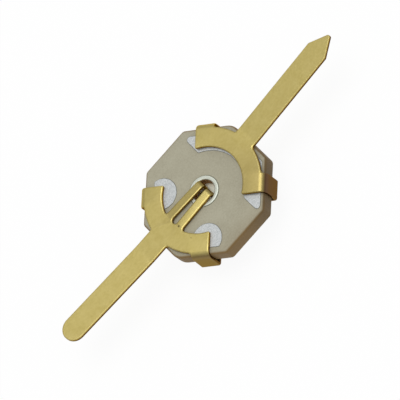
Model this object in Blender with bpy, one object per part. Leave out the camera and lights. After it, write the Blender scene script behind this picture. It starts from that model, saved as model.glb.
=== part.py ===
"""Single-turn ceramic trimmer capacitor with two strip leads.

An octagonal ceramic stator carries two folded brass terminals on its upper face.
A slotted rotor post runs through the stator's bore and is held there by its flared
rim. Under the stator it turns a ceramic rotor disc, pressed up by a bowed washer.

Units are metres. The post turns about Z, the strip leads run along X, and the
face of the slotted head lies at Z = 0.
"""

import math

import bmesh
import bpy
import numpy as np

MM = 0.001

# Ceramic stator
STATOR_ACROSS_FLATS = 5.08 * MM
STATOR_THICKNESS = 0.70 * MM
STATOR_CORNER_RADIUS = 0.20 * MM
STATOR_EDGE_RADIUS = 0.12 * MM
COUNTERBORE_DEPTH = 0.09 * MM

# Silver films, drawn as thin solids; the upper print lies a little off centre
FILM_THICKNESS = 0.015 * MM
FILM_GAP = 0.006 * MM
PRINT_SHIFT_Y = -0.10 * MM
STATOR_LAND_INSET = 0.20 * MM
STATOR_LAND_SHOWING = 0.057 * MM
STATOR_LAND_CUT_DEG = 58.6
STATOR_LAND_CORNER_RADIUS = 0.15 * MM
ROTOR_LAND_RADIUS = 0.64 * MM
ROTOR_LAND_CHORD_DISTANCE = 0.357 * MM
ROTOR_LAND_SIDE_STEP = 0.156 * MM
ROTOR_LAND_INSET = 0.33 * MM
STATOR_ELECTRODE_BORE_MARGIN = 0.48 * MM
STATOR_ELECTRODE_INSET = 0.25 * MM
ELECTRODE_SET_BACK = 0.06 * MM
ROTOR_ELECTRODE_MARGIN = 0.15 * MM

# Brass sheet terminals; both leads stand a little to the +Y side of the axis
SHEET_THICKNESS = 0.11 * MM
BAND_SET_BACK = 0.061 * MM
BAND_WIDTH = 0.772 * MM
TAB_WIDTH = 0.75 * MM
TAB_FOOT_LENGTH = 0.30 * MM
TAB_CLEARANCE = 0.015 * MM
TAB_FOOT_DROP = 0.14 * MM
TAB_BEND_RADIUS = 0.10 * MM
FOOT_BEND_RADIUS = 0.06 * MM
LEAD_WIDTH = 1.00 * MM
LEAD_LENGTH = 4.98 * MM
STATOR_LEAD_SIDE_STEP = 0.06 * MM
ROTOR_LEAD_SIDE_STEP = 0.045 * MM
LEAD_ROOT_FILLET = 0.10 * MM
STATOR_TERMINAL_LIFT = 0.10 * MM
STATOR_LEAD_FLAT_LENGTH = 0.06 * MM
STATOR_LEAD_RISE_DEG = 4.2
POINT_HALF_ANGLE_DEG = 31.0
POINT_TIP_RADIUS = 0.10 * MM
ROTOR_TERMINAL_LIFT = 0.05 * MM
ROTOR_LEAD_FLAT_LENGTH = 0.66 * MM
ROTOR_LEAD_RISE_DEG = 3.6

# Contact tines of the rotor terminal, measured from the post's axis
TINE_PAIR_WIDTH = 1.06 * MM
TINE_PAIR_TIP_WIDTH = 0.70 * MM
TINE_SLOT_WIDTH = 0.28 * MM
TINE_SLOT_TIP_WIDTH = 0.225 * MM
TINE_SLOT_SET_BACK = 0.047 * MM
TINE_ROOT_FILLET = 0.10 * MM
TINE_BEND_AT = 0.05 * MM
TINE_TIP_DEPTH = 0.24 * MM
TINE_BEND_RADIUS = 0.06 * MM

# Rotor post, slotted at its head and flared into a rim round a cup
POST_RADIUS = 0.52 * MM
POST_WALL = 0.08 * MM
POST_RIM_WIDTH = 0.10 * MM
POST_RIM_ABOVE_STATOR = 0.03 * MM
POST_RIM_EDGE_RADIUS = 0.035 * MM
POST_CUP_DEPTH = 0.37 * MM
POST_FLAT_HALF_WIDTH = 0.42 * MM
POST_HEAD_THICKNESS = 0.40 * MM
POST_HEAD_EDGE_RADIUS = 0.06 * MM
SLOT_WIDTH = 0.30 * MM
SLOT_DEPTH = 0.20 * MM

# Rotor disc and its bowed washer
ROTOR_DISC_SET_BACK = 0.59 * MM
ROTOR_DISC_THICKNESS = 0.40 * MM
ROTOR_DISC_EDGE_RADIUS = 0.06 * MM
WASHER_THICKNESS = 0.08 * MM
WASHER_BOW = 0.10 * MM
WASHER_WIDTH = 0.31 * MM
WASHER_MARGIN = 0.06 * MM

# Fits and mesh fineness
RUNNING_CLEARANCE = 0.02 * MM
SEATED_CLEARANCE = 0.01 * MM
ROUND_STEPS = 64
EDGE_STEPS = 4
BEND_STEPS = 5
WASHER_STEPS = 4
ARC_STEP_DEG = 6.0
SAME_POINT = 1e-5 * MM

# Heights, stacked up from the head's face
WASHER_Z = POST_HEAD_THICKNESS + SEATED_CLEARANCE
ROTOR_FILM_Z = WASHER_Z + WASHER_THICKNESS + WASHER_BOW + SEATED_CLEARANCE
ROTOR_DISC_Z = ROTOR_FILM_Z + FILM_THICKNESS + FILM_GAP
ROTOR_DISC_TOP_Z = ROTOR_DISC_Z + ROTOR_DISC_THICKNESS
STATOR_FILM_Z = ROTOR_DISC_TOP_Z + RUNNING_CLEARANCE
STATOR_Z = STATOR_FILM_Z + FILM_THICKNESS + FILM_GAP
STATOR_TOP_Z = STATOR_Z + STATOR_THICKNESS
COUNTERBORE_Z = STATOR_TOP_Z - COUNTERBORE_DEPTH

# Plan sizes that follow from the stator's width
STATOR_HALF = STATOR_ACROSS_FLATS / 2
BAND_OUTER_RADIUS = STATOR_HALF - BAND_SET_BACK
BAND_INNER_RADIUS = BAND_OUTER_RADIUS - BAND_WIDTH
LEAD_REACH = STATOR_HALF + LEAD_LENGTH
STATOR_LEAD_RISE_START = STATOR_HALF + STATOR_LEAD_FLAT_LENGTH
ROTOR_LEAD_RISE_START = STATOR_HALF + ROTOR_LEAD_FLAT_LENGTH
TINE_SLOT_END = BAND_INNER_RADIUS - TINE_SLOT_SET_BACK
STATOR_LAND_INNER_RADIUS = BAND_INNER_RADIUS - STATOR_LAND_SHOWING
ROTOR_DISC_RADIUS = STATOR_HALF - ROTOR_DISC_SET_BACK

# Sizes that follow from the fits
WASHER_INNER_RADIUS = POST_RADIUS + WASHER_MARGIN
WASHER_OUTER_RADIUS = WASHER_INNER_RADIUS + WASHER_WIDTH
POST_HEAD_RADIUS = WASHER_OUTER_RADIUS + WASHER_MARGIN
BORE_RADIUS = POST_RADIUS + RUNNING_CLEARANCE
POST_RIM_RADIUS = POST_RADIUS + POST_RIM_WIDTH
POST_RIM_Z = COUNTERBORE_Z + RUNNING_CLEARANCE
POST_RIM_TOP_Z = STATOR_TOP_Z + POST_RIM_ABOVE_STATOR
STATOR_ELECTRODE_INNER_RADIUS = BORE_RADIUS + STATOR_ELECTRODE_BORE_MARGIN
FOLD_DISTANCE = STATOR_HALF + TAB_CLEARANCE - TAB_BEND_RADIUS
TAB_ANGLE_DEG = 45.0
OCTAGON_HALF_CORNER = math.tan(math.radians(22.5))

# Materials: name, colour, roughness, metallic
CERAMIC = ("buff_ceramic", (0.38, 0.36, 0.27), 0.55, 0.0)
ROTOR_CERAMIC = ("white_ceramic", (0.62, 0.60, 0.54), 0.45, 0.0)
BRASS = ("brass_sheet", (0.56, 0.43, 0.14), 0.32, 1.0)
SILVER = ("fired_silver", (0.66, 0.68, 0.69), 0.45, 0.8)
PLATED_BRASS = ("silver_plated_brass", (0.72, 0.72, 0.68), 0.30, 1.0)
BRONZE = ("spring_bronze", (0.50, 0.34, 0.16), 0.35, 1.0)


def clear_scene():
    """Remove every object that the scene starts with."""
    for obj in list(bpy.data.objects):
        bpy.data.objects.remove(obj, do_unlink=True)


def material(spec):
    """Return the material of a (name, colour, roughness, metallic) entry."""
    name, colour, roughness, metallic = spec
    if name in bpy.data.materials:
        return bpy.data.materials[name]
    made = bpy.data.materials.new(name)
    made.use_nodes = True
    shader = made.node_tree.nodes["Principled BSDF"]
    shader.inputs["Base Color"].default_value = (*colour, 1.0)
    shader.inputs["Roughness"].default_value = roughness
    shader.inputs["Metallic"].default_value = metallic
    return made


def add_object(name, bm, spec, parent=None):
    """Turn a bmesh into a named object, smooth where its faces meet at a shallow angle."""
    bmesh.ops.recalc_face_normals(bm, faces=bm.faces)
    mesh = bpy.data.meshes.new(name)
    bm.to_mesh(mesh)
    bm.free()
    mesh.shade_smooth()
    mesh.set_sharp_from_angle(angle=math.radians(30))
    mesh.materials.append(material(spec))
    obj = bpy.data.objects.new(name, mesh)
    obj.parent = parent
    bpy.context.scene.collection.objects.link(obj)
    return obj


def unit(vector):
    """The vector scaled to length one."""
    return np.array(vector) / math.hypot(*vector)


def arc(centre, radius, start_deg, end_deg):
    """Points on an arc from start to end in degrees, both ends included."""
    count = max(2, math.ceil(abs(end_deg - start_deg) / ARC_STEP_DEG) + 1)
    angles = np.radians(np.linspace(start_deg, end_deg, count))
    return [(centre[0] + radius * math.cos(a), centre[1] + radius * math.sin(a)) for a in angles]


def arc_between(centre, radius, first, last):
    """Points on an arc from first to last, the shorter way round the centre."""
    start = math.atan2(first[1] - centre[1], first[0] - centre[0])
    end = math.atan2(last[1] - centre[1], last[0] - centre[0])
    turn = (end - start + math.pi) % (2 * math.pi) - math.pi
    return arc(centre, radius, math.degrees(start), math.degrees(start + turn))


def fillet(before, corner, after, radius):
    """Round an outline's corner between two straight runs."""
    back = unit(np.subtract(before, corner))
    ahead = unit(np.subtract(after, corner))
    half = math.acos(float(back @ ahead)) / 2
    centre = corner + unit(back + ahead) * radius / math.sin(half)
    reach = radius / math.tan(half)
    return arc_between(centre, radius, corner + back * reach, corner + ahead * reach)


def circle_fillet(point, direction, circle_radius, radius, inside):
    """Round the corner where a straight edge meets a circle about the origin.

    The edge runs from the point along the direction, and the rounding lies on its
    left, inside or outside the circle. The arc runs from the edge to the circle.
    """
    ahead = unit(direction)
    left = np.array([-ahead[1], ahead[0]])
    base = np.array(point) + left * radius
    reach = circle_radius - radius if inside else circle_radius + radius
    along = base @ ahead
    centre = base + ahead * (math.sqrt(along ** 2 - base @ base + reach ** 2) - along)
    return arc_between(centre, radius, centre - left * radius, centre * circle_radius / reach)


def angle_deg(point):
    """The direction of a point from the origin, in degrees."""
    return math.degrees(math.atan2(point[1], point[0]))


def join_runs(*runs):
    """Chain runs of points into one outline, dropping points that repeat."""
    outline = []
    for point in (tuple(p) for run in runs for p in run):
        if not outline or math.dist(point, outline[-1]) > SAME_POINT:
            outline.append(point)
    return outline


def closed_halves(upper, lower):
    """Close an outline from two halves above the X axis, of which the lower is mirrored in it."""
    return upper + [(x, -y) for x, y in reversed(lower) if abs(y) > SAME_POINT]


def circle_ring(radius, z):
    """One turned ring of points at a height."""
    angles = (np.arange(ROUND_STEPS) + 0.5) * 2 * math.pi / ROUND_STEPS
    return [(radius * math.cos(a), radius * math.sin(a), z) for a in angles]


def double_flat_ring(radius, half_width, z):
    """A turned ring with a flat on each side, at half_width from the X axis."""
    return [(x, min(half_width, max(-half_width, y)), z) for x, y, z in circle_ring(radius, z)]


def octagon_ring(inset, z):
    """The stator's outline at an inset, with as many points as a turned ring."""
    apothem = STATOR_HALF - inset
    radius = STATOR_CORNER_RADIUS - inset
    centre_distance = (apothem - radius) / math.cos(math.pi / 8)
    flat_points = ROUND_STEPS // 8 - EDGE_STEPS - 1
    ring = []
    for corner in range(8):
        middle = math.pi / 8 + corner * math.pi / 4
        for turn in np.linspace(-math.pi / 8, math.pi / 8, EDGE_STEPS + 1):
            ring.append((centre_distance * math.cos(middle) + radius * math.cos(middle + turn),
                         centre_distance * math.sin(middle) + radius * math.sin(middle + turn), z))
        flat = middle + math.pi / 8
        half_flat = (apothem - radius) * OCTAGON_HALF_CORNER
        for along in np.linspace(-half_flat, half_flat, flat_points + 2)[1:-1]:
            ring.append((apothem * math.cos(flat) - along * math.sin(flat),
                         apothem * math.sin(flat) + along * math.cos(flat), z))
    return ring


def face_to_side(radius):
    """Rounding of an edge as (inset, drop) pairs, from the face to the side."""
    return [(radius * (1 - math.sin(a)), radius * (1 - math.cos(a)))
            for a in np.linspace(0, math.pi / 2, EDGE_STEPS + 1)]


def side_to_face(radius):
    """The same rounding, from the side to the face."""
    return face_to_side(radius)[::-1]


def loft(rings, closed):
    """Bridge rings of equal length; a closed loft returns to its first ring, an open one is capped."""
    bm = bmesh.new()
    rows = [[bm.verts.new(point) for point in ring] for ring in rings]
    pairs = list(zip(rows, rows[1:]))
    if closed:
        pairs.append((rows[-1], rows[0]))
    else:
        bm.faces.new(rows[0])
        bm.faces.new(rows[-1])
    for lower, upper in pairs:
        for i, vert in enumerate(lower):
            j = (i + 1) % len(lower)
            bm.faces.new((vert, lower[j], upper[j], upper[i]))
    return bm


def add_film(name, outline, z, parent=None):
    """A fired silver film: an outline in plan, raised by the film's thickness."""
    bm = bmesh.new()
    face = bm.faces.new([bm.verts.new((x, y, z)) for x, y in outline])
    raised = bmesh.ops.extrude_face_region(bm, geom=[face])
    top = [item for item in raised["geom"] if isinstance(item, bmesh.types.BMVert)]
    bmesh.ops.translate(bm, verts=top, vec=(0, 0, FILM_THICKNESS))
    return add_object(name, bm, SILVER, parent)


def cut_box(target, name, low, high):
    """Cut a box between two corners out of a target."""
    bm = bmesh.new()
    bmesh.ops.create_cube(bm, size=1.0)
    for vert in bm.verts:
        vert.co = [low[k] + (vert.co[k] + 0.5) * (high[k] - low[k]) for k in range(3)]
    cutter = add_object(name, bm, PLATED_BRASS, target.parent)
    cutter.hide_render = True
    cutter.display_type = "WIRE"
    modifier = target.modifiers.new(name, "BOOLEAN")
    modifier.operation = "DIFFERENCE"
    modifier.object = cutter


def build_stator():
    """Octagonal plate with rounded edges, a bore and a counterbore for the post's rim."""
    rings = [octagon_ring(inset, STATOR_TOP_Z - drop) for inset, drop in face_to_side(STATOR_EDGE_RADIUS)]
    rings += [octagon_ring(inset, STATOR_Z + drop) for inset, drop in side_to_face(STATOR_EDGE_RADIUS)]
    counterbore_radius = POST_RIM_RADIUS + RUNNING_CLEARANCE
    rings.append(circle_ring(BORE_RADIUS, STATOR_Z))
    rings.append(circle_ring(BORE_RADIUS, COUNTERBORE_Z))
    rings.append(circle_ring(counterbore_radius, COUNTERBORE_Z))
    rings.append(circle_ring(counterbore_radius, STATOR_TOP_Z))
    add_object("ceramic_stator", loft(rings, True), CERAMIC)


def half_plate_outline(corners, inner_radius):
    """Outline of a film on the +X half of the stator, open round its centre.

    The (x, y, radius) corners run from the X axis to the cut end, and the outline
    comes back along the inner radius. The half below the X axis mirrors it.
    """
    runs = [[corners[0][:2]]]
    for before, (x, y, radius), after in zip(corners, corners[1:], corners[2:]):
        runs.append(fillet(before[:2], (x, y), after[:2], radius))
    last = corners[-1][:2]
    runs.append(arc((0, 0), inner_radius, angle_deg(last), 0))
    half = join_runs(*runs)
    return closed_halves(half, half)


def build_stator_films():
    """Silver land under the stator terminal and the stator's electrode on the lower face."""
    radius = STATOR_LAND_CORNER_RADIUS
    edge = STATOR_HALF - STATOR_LAND_INSET
    inner = STATOR_LAND_INNER_RADIUS
    cut = inner * math.cos(math.radians(STATOR_LAND_CUT_DEG))
    corners = [(edge, 0, 0),
               (edge, edge * OCTAGON_HALF_CORNER, radius),
               (cut, edge * math.sqrt(2) - cut, radius),
               (cut, math.sqrt(inner ** 2 - cut ** 2), 0)]
    outline = [(x, y + PRINT_SHIFT_Y) for x, y in half_plate_outline(corners, inner)]
    add_film("stator_land", outline, STATOR_TOP_Z + FILM_GAP)

    edge = STATOR_HALF - STATOR_ELECTRODE_INSET
    cut = ELECTRODE_SET_BACK
    inner = STATOR_ELECTRODE_INNER_RADIUS
    corners = [(edge, 0, 0),
               (edge, edge * OCTAGON_HALF_CORNER, radius),
               (edge * OCTAGON_HALF_CORNER, edge, radius),
               (cut, edge, radius),
               (cut, math.sqrt(inner ** 2 - cut ** 2), 0)]
    add_film("stator_electrode", half_plate_outline(corners, inner), STATOR_FILM_Z)


def build_rotor_lands():
    """Two round silver lands under the rotor terminal, cut straight along the diagonal flats."""
    centre_distance = STATOR_HALF - ROTOR_LAND_INSET - ROTOR_LAND_CHORD_DISTANCE
    x, y = tab_point(centre_distance, ROTOR_LAND_SIDE_STEP)
    half_deg = math.degrees(math.acos(ROTOR_LAND_CHORD_DISTANCE / ROTOR_LAND_RADIUS))
    for name, side in (("rotor_land_left", 1), ("rotor_land_right", -1)):
        centre = (-x, side * y + PRINT_SHIFT_Y)
        flat_deg = side * (180.0 - TAB_ANGLE_DEG)
        outline = arc(centre, ROTOR_LAND_RADIUS, flat_deg + half_deg, flat_deg + 360 - half_deg)
        add_film(name, outline, STATOR_TOP_Z + FILM_GAP)


def bend_path(turns):
    """Section of a strip's inner face as (out, up) points.

    Each turn is a straight length, the bend that follows it, in degrees down, and
    the bend's radius.
    """
    path = [(0.0, 0.0)]
    heading = 0.0
    for straight, bend_deg, radius in turns:
        if straight > 0:
            out, up = path[-1]
            path.append((out + straight * math.cos(heading), up + straight * math.sin(heading)))
        step = math.radians(bend_deg) / BEND_STEPS
        for _ in range(BEND_STEPS if bend_deg else 0):
            out, up = path[-1]
            chord = 2 * radius * math.sin(step / 2)
            middle = heading - step / 2
            path.append((out + chord * math.cos(middle), up + chord * math.sin(middle)))
            heading -= step
    return path


def fold_strip(bm, edge, direction, path):
    """Extrude an edge of the sheet along a folded section, out in the given direction."""
    starts = [vert.co.copy() for vert in edge]
    row = edge
    for out, up in path[1:]:
        step = (direction[0] * out, direction[1] * out, up)
        moved = [bm.verts.new([start[k] + step[k] for k in range(3)]) for start in starts]
        bm.faces.new((row[0], row[1], moved[1], moved[0]))
        row = moved


def tab_point(distance, offset):
    """A point beside the tab's centre line, which leaves the axis at the tab's angle."""
    turn = math.radians(TAB_ANGLE_DEG)
    return (distance * math.cos(turn) - offset * math.sin(turn),
            distance * math.sin(turn) + offset * math.cos(turn))


def band_half(rise_start, lead_edge, inner_run):
    """Half outline of a terminal's flat part, from the lead to the X axis or the tines.

    The lead's edge lies at lead_edge from the X axis. The band follows the plate from
    the lead's root to the tab, whose far side runs straight on to the band's inner
    edge. inner_run takes the outline on from there.
    """
    half_tab = TAB_WIDTH / 2
    tab_turn = math.degrees(math.asin(half_tab / BAND_OUTER_RADIUS))
    root = circle_fillet((0, lead_edge), (1, 0), BAND_OUTER_RADIUS, LEAD_ROOT_FILLET, False)
    outer = arc((0, 0), BAND_OUTER_RADIUS, angle_deg(root[-1]), TAB_ANGLE_DEG - tab_turn)
    fold = [tab_point(FOLD_DISTANCE, -half_tab), tab_point(FOLD_DISTANCE, half_tab)]
    end_deg = TAB_ANGLE_DEG + math.degrees(math.asin(half_tab / BAND_INNER_RADIUS))
    inner = arc((0, 0), BAND_INNER_RADIUS, end_deg, angle_deg(inner_run[0]))
    return join_runs([(rise_start, lead_edge)], root, outer, fold, inner, inner_run)


def pointed_end(tip_x):
    """The end of a lead from its lower to its upper edge: a point with a rounded tip."""
    half_angle = math.radians(POINT_HALF_ANGLE_DEG)
    apex = tip_x + POINT_TIP_RADIUS / math.sin(half_angle) - POINT_TIP_RADIUS
    shoulder = apex - LEAD_WIDTH / 2 / math.tan(half_angle)
    low = (shoulder, -LEAD_WIDTH / 2)
    high = (shoulder, LEAD_WIDTH / 2)
    return join_runs([low], fillet(low, (apex, 0), high, POINT_TIP_RADIUS), [high])


def rounded_end(tip_x):
    """The end of a lead from its lower to its upper edge: a half round."""
    return arc((tip_x - LEAD_WIDTH / 2, 0), LEAD_WIDTH / 2, -90, 90)


def add_terminal(name, lift, turn, side_step, inner_run, rise_start, rise_deg, end, tip_edges):
    """Fold a terminal from sheet: band, two tabs, rising lead and any tine tips.

    It is drawn with its lead along +X, at side_step off the axis, and its lower face
    at height zero, then turned about Z and lifted off the stator.
    """
    bm = bmesh.new()
    edges = [LEAD_WIDTH / 2 + side_step, LEAD_WIDTH / 2 - side_step]
    halves = [band_half(rise_start, edge, inner_run) for edge in edges]
    corner = {point: bm.verts.new((*point, 0)) for point in closed_halves(*halves)}
    bm.faces.new(list(corner.values()))

    tab_drop = lift + STATOR_THICKNESS + TAB_FOOT_DROP - TAB_BEND_RADIUS - FOOT_BEND_RADIUS
    tab_path = bend_path([(0, 90, TAB_BEND_RADIUS), (tab_drop, 90, FOOT_BEND_RADIUS),
                          (TAB_FOOT_LENGTH, 0, 0)])
    tip_path = bend_path([(0, 90, TINE_BEND_RADIUS),
                          (lift + TINE_TIP_DEPTH - TINE_BEND_RADIUS, 0, 0)])
    near, far = tab_point(FOLD_DISTANCE, -TAB_WIDTH / 2), tab_point(FOLD_DISTANCE, TAB_WIDTH / 2)
    outward = tab_point(1, 0)
    for side in (1, -1):
        edge = [corner[(x, side * y)] for x, y in (near, far)]
        fold_strip(bm, edge, (outward[0], side * outward[1]), tab_path)
        for outer, inner in tip_edges:
            edge = [corner[(x, side * y)] for x, y in (outer, inner)]
            fold_strip(bm, edge, (-1, 0), tip_path)

    rise = math.radians(rise_deg)
    root = [corner[(rise_start, -edges[1])], corner[(rise_start, edges[0])]]
    tip_x = rise_start + (LEAD_REACH - rise_start) / math.cos(rise)
    lead = []
    for x, y in end(tip_x):
        along = x - rise_start
        lead.append(bm.verts.new((rise_start + along * math.cos(rise), y + side_step,
                                  along * math.sin(rise))))
    bm.faces.new([root[0], *lead, root[1]])

    bmesh.ops.recalc_face_normals(bm, faces=bm.faces)
    bm.faces.ensure_lookup_table()
    if bm.faces[0].normal.z < 0:
        bmesh.ops.reverse_faces(bm, faces=bm.faces)
    bmesh.ops.solidify(bm, geom=bm.faces[:], thickness=-SHEET_THICKNESS)
    terminal = add_object(name, bm, BRASS)
    terminal.location = (0, 0, STATOR_TOP_Z + lift)
    terminal.rotation_euler = (0, 0, turn)


def build_stator_terminal():
    """The terminal with the pointed lead, whose band ends on the X axis."""
    add_terminal("stator_terminal", STATOR_TERMINAL_LIFT, 0, STATOR_LEAD_SIDE_STEP,
                 [(BAND_INNER_RADIUS, 0)], STATOR_LEAD_RISE_START, STATOR_LEAD_RISE_DEG,
                 pointed_end, [])


def build_rotor_terminal():
    """The terminal with the rounded lead and two contact tines that reach into the post's cup."""
    outer_tip = (TINE_BEND_AT, TINE_PAIR_TIP_WIDTH / 2)
    inner_tip = (TINE_BEND_AT, TINE_SLOT_TIP_WIDTH / 2)
    taper = (TINE_PAIR_WIDTH - TINE_PAIR_TIP_WIDTH) / 2
    root = circle_fillet(outer_tip, (TINE_SLOT_END - TINE_BEND_AT, taper),
                         BAND_INNER_RADIUS, TINE_ROOT_FILLET, True)
    slot_radius = TINE_SLOT_WIDTH / 2
    slot_end = arc((TINE_SLOT_END - slot_radius, 0), slot_radius, 90, 0)
    inner_run = root[::-1] + [outer_tip, inner_tip] + slot_end
    add_terminal("rotor_terminal", ROTOR_TERMINAL_LIFT, math.pi, -ROTOR_LEAD_SIDE_STEP,
                 inner_run, ROTOR_LEAD_RISE_START, ROTOR_LEAD_RISE_DEG, rounded_end,
                 [(outer_tip, inner_tip)])


def build_post(parent):
    """Slotted head, shank with two flats for the disc, and a flared rim round a cup."""
    rings = [circle_ring(POST_HEAD_RADIUS - inset, drop)
             for inset, drop in face_to_side(POST_HEAD_EDGE_RADIUS)]
    rings += [circle_ring(POST_HEAD_RADIUS - inset, POST_HEAD_THICKNESS - drop)
              for inset, drop in side_to_face(POST_HEAD_EDGE_RADIUS)]
    rings.append(circle_ring(POST_RADIUS, POST_HEAD_THICKNESS))
    rings.append(circle_ring(POST_RADIUS, POST_RIM_Z))
    rings.append(circle_ring(POST_RIM_RADIUS, POST_RIM_Z))
    rings += [circle_ring(POST_RIM_RADIUS - inset, POST_RIM_TOP_Z - drop)
              for inset, drop in side_to_face(POST_RIM_EDGE_RADIUS)]
    cup_radius = POST_RADIUS - POST_WALL
    rings += [circle_ring(cup_radius + inset, POST_RIM_TOP_Z - drop)
              for inset, drop in face_to_side(POST_RIM_EDGE_RADIUS)]
    rings.append(circle_ring(cup_radius, POST_RIM_TOP_Z - POST_CUP_DEPTH))
    post = add_object("rotor_post", loft(rings, False), PLATED_BRASS, parent)

    over = POST_HEAD_RADIUS
    cut_box(post, "driver_slot", (-2 * over, -SLOT_WIDTH / 2, -SLOT_DEPTH),
            (2 * over, SLOT_WIDTH / 2, SLOT_DEPTH))
    for name, side in (("flat_left", 1), ("flat_right", -1)):
        edges = sorted((side * POST_FLAT_HALF_WIDTH, side * 2 * POST_RADIUS))
        cut_box(post, name, (-over, edges[0], WASHER_Z), (over, edges[1], STATOR_FILM_Z))


def build_disc(parent):
    """Ceramic rotor disc, keyed to the post's flats, with the rotor's electrode below it."""
    rings = [circle_ring(ROTOR_DISC_RADIUS - inset, ROTOR_DISC_TOP_Z - drop)
             for inset, drop in face_to_side(ROTOR_DISC_EDGE_RADIUS)]
    rings += [circle_ring(ROTOR_DISC_RADIUS - inset, ROTOR_DISC_Z + drop)
              for inset, drop in side_to_face(ROTOR_DISC_EDGE_RADIUS)]
    bore = POST_RADIUS + SEATED_CLEARANCE
    flat = POST_FLAT_HALF_WIDTH + SEATED_CLEARANCE
    rings.append(double_flat_ring(bore, flat, ROTOR_DISC_Z))
    rings.append(double_flat_ring(bore, flat, ROTOR_DISC_TOP_Z))
    add_object("rotor_disc", loft(rings, True), ROTOR_CERAMIC, parent)

    outer = ROTOR_DISC_RADIUS - ROTOR_ELECTRODE_MARGIN
    inner = WASHER_INNER_RADIUS
    outer_deg = math.degrees(math.asin(ELECTRODE_SET_BACK / outer))
    inner_deg = math.degrees(math.asin(ELECTRODE_SET_BACK / inner))
    outline = arc((0, 0), outer, 90 + outer_deg, 270 - outer_deg)
    outline += arc((0, 0), inner, 270 - inner_deg, 90 + inner_deg)
    add_film("rotor_electrode", outline, ROTOR_FILM_Z, parent)


def build_washer(parent):
    """Bowed washer: a ring of sheet whose height falls with the square of X."""
    radii = np.linspace(WASHER_INNER_RADIUS, WASHER_OUTER_RADIUS, WASHER_STEPS)

    def bowed(radius, z):
        return [(x, y, z + WASHER_BOW * (1 - (x / WASHER_OUTER_RADIUS) ** 2))
                for x, y, z in circle_ring(radius, z)]

    rings = [bowed(radius, WASHER_Z) for radius in radii]
    rings += [bowed(radius, WASHER_Z + WASHER_THICKNESS) for radius in radii[::-1]]
    add_object("bowed_washer", loft(rings, True), BRONZE, parent)


def main():
    """Build every piece; the turning ones hang on an empty on the post's axis."""
    clear_scene()
    build_stator()
    build_stator_films()
    build_rotor_lands()
    build_stator_terminal()
    build_rotor_terminal()
    rotor_axis = bpy.data.objects.new("rotor_axis", None)
    bpy.context.scene.collection.objects.link(rotor_axis)
    build_post(rotor_axis)
    build_disc(rotor_axis)
    build_washer(rotor_axis)


if __name__ == "__main__":
    main()
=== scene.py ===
"""Looks of a small ceramic trimmer capacitor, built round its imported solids.

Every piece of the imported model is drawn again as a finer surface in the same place:
the pressed ceramic plate, the two stamped and folded brass terminals, the printed
silver films, and the turned post, disc and bowed washer of the rotor. Sizes are in
millimetres until a surface becomes a mesh.
"""

import logging
import math
from collections.abc import Callable
from dataclasses import dataclass, field
from enum import Enum

import bmesh
import bpy
import numpy as np
from mathutils import Matrix, Vector
from mathutils.geometry import delaunay_2d_cdt


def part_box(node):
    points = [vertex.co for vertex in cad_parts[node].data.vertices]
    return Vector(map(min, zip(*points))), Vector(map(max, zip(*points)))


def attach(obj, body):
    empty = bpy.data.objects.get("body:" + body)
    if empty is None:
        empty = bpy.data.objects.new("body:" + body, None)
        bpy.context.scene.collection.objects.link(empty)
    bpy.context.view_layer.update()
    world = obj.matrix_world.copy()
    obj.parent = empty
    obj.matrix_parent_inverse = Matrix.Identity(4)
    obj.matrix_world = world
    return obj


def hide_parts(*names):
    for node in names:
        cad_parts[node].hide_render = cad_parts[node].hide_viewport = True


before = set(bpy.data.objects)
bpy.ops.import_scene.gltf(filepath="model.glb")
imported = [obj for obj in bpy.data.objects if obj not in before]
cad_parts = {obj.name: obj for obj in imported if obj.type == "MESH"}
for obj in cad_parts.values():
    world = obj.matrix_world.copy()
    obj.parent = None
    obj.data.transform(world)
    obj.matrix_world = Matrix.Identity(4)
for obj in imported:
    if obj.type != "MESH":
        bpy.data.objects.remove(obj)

LOG = logging.getLogger("trimmer")
MM = 0.001
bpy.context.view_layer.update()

# Points closer than this are welded
WELD_MM = 2e-5

# No chord strays further than this from its arc
CHORD_ERROR_MM = 0.0004

# An edge whose two faces turn by more than this is shaded sharp
SHARP_DEG = 38.0

# Keeps a divisor above nothing
TINY = 1e-9

# Cosine of 45 degrees
HALF_ROOT = math.sqrt(0.5)

# A quarter turn, and half the angle that a side of an octagon spans from its middle
QUARTER = math.pi / 2
HALF_SIDE = math.pi / 8

# Tells the triangulation to keep only what lies inside the outline
INSIDE_ONLY = 1

# Sockets of a Mix node: its share, its two numbers, its two colours and its mixed colour
MIX_SHARE = 0
MIX_NUMBERS = (2, 3)
MIX_COLOURS = (6, 7)
MIX_RESULT = 2


class LeadEnd(Enum):
    """How the free end of a strip lead is cropped."""

    POINTED = "pointed"
    ROUNDED = "rounded"


@dataclass(frozen=True)
class Extent:
    """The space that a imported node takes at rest, in millimetres."""

    low: np.ndarray
    high: np.ndarray

    @classmethod
    def of(cls, node: str) -> "Extent":
        """Read a node's lowest and highest corner from the frame."""
        low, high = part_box(node)
        return cls(np.array(low) / MM, np.array(high) / MM)


def extent_of(node: str) -> Extent:
    """Give a dataclass field that holds a node's extent, read from the frame."""
    return field(default_factory=lambda: Extent.of(node))


# Plane geometry


def unit(vector: np.ndarray) -> np.ndarray:
    """Scale a vector to length one."""
    return np.asarray(vector, float) / np.linalg.norm(vector)


def arc(centre: np.ndarray, radius: float, start: float, end: float) -> np.ndarray:
    """Sample a circle's arc: centre + radius * (cos a, sin a) for a from start to end.

    Args:
        centre: Middle of the circle.
        radius: Its radius.
        start: First angle, in radians.
        end: Last angle, in radians.

    Returns:
        The points, both ends included.
    """
    step = 2 * math.acos(1 - min(0.5, CHORD_ERROR_MM / radius))
    angles = np.linspace(start, end, max(3, math.ceil(abs(end - start) / step) + 1))
    return np.asarray(centre) + radius * np.stack([np.cos(angles), np.sin(angles)], axis=1)


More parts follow.
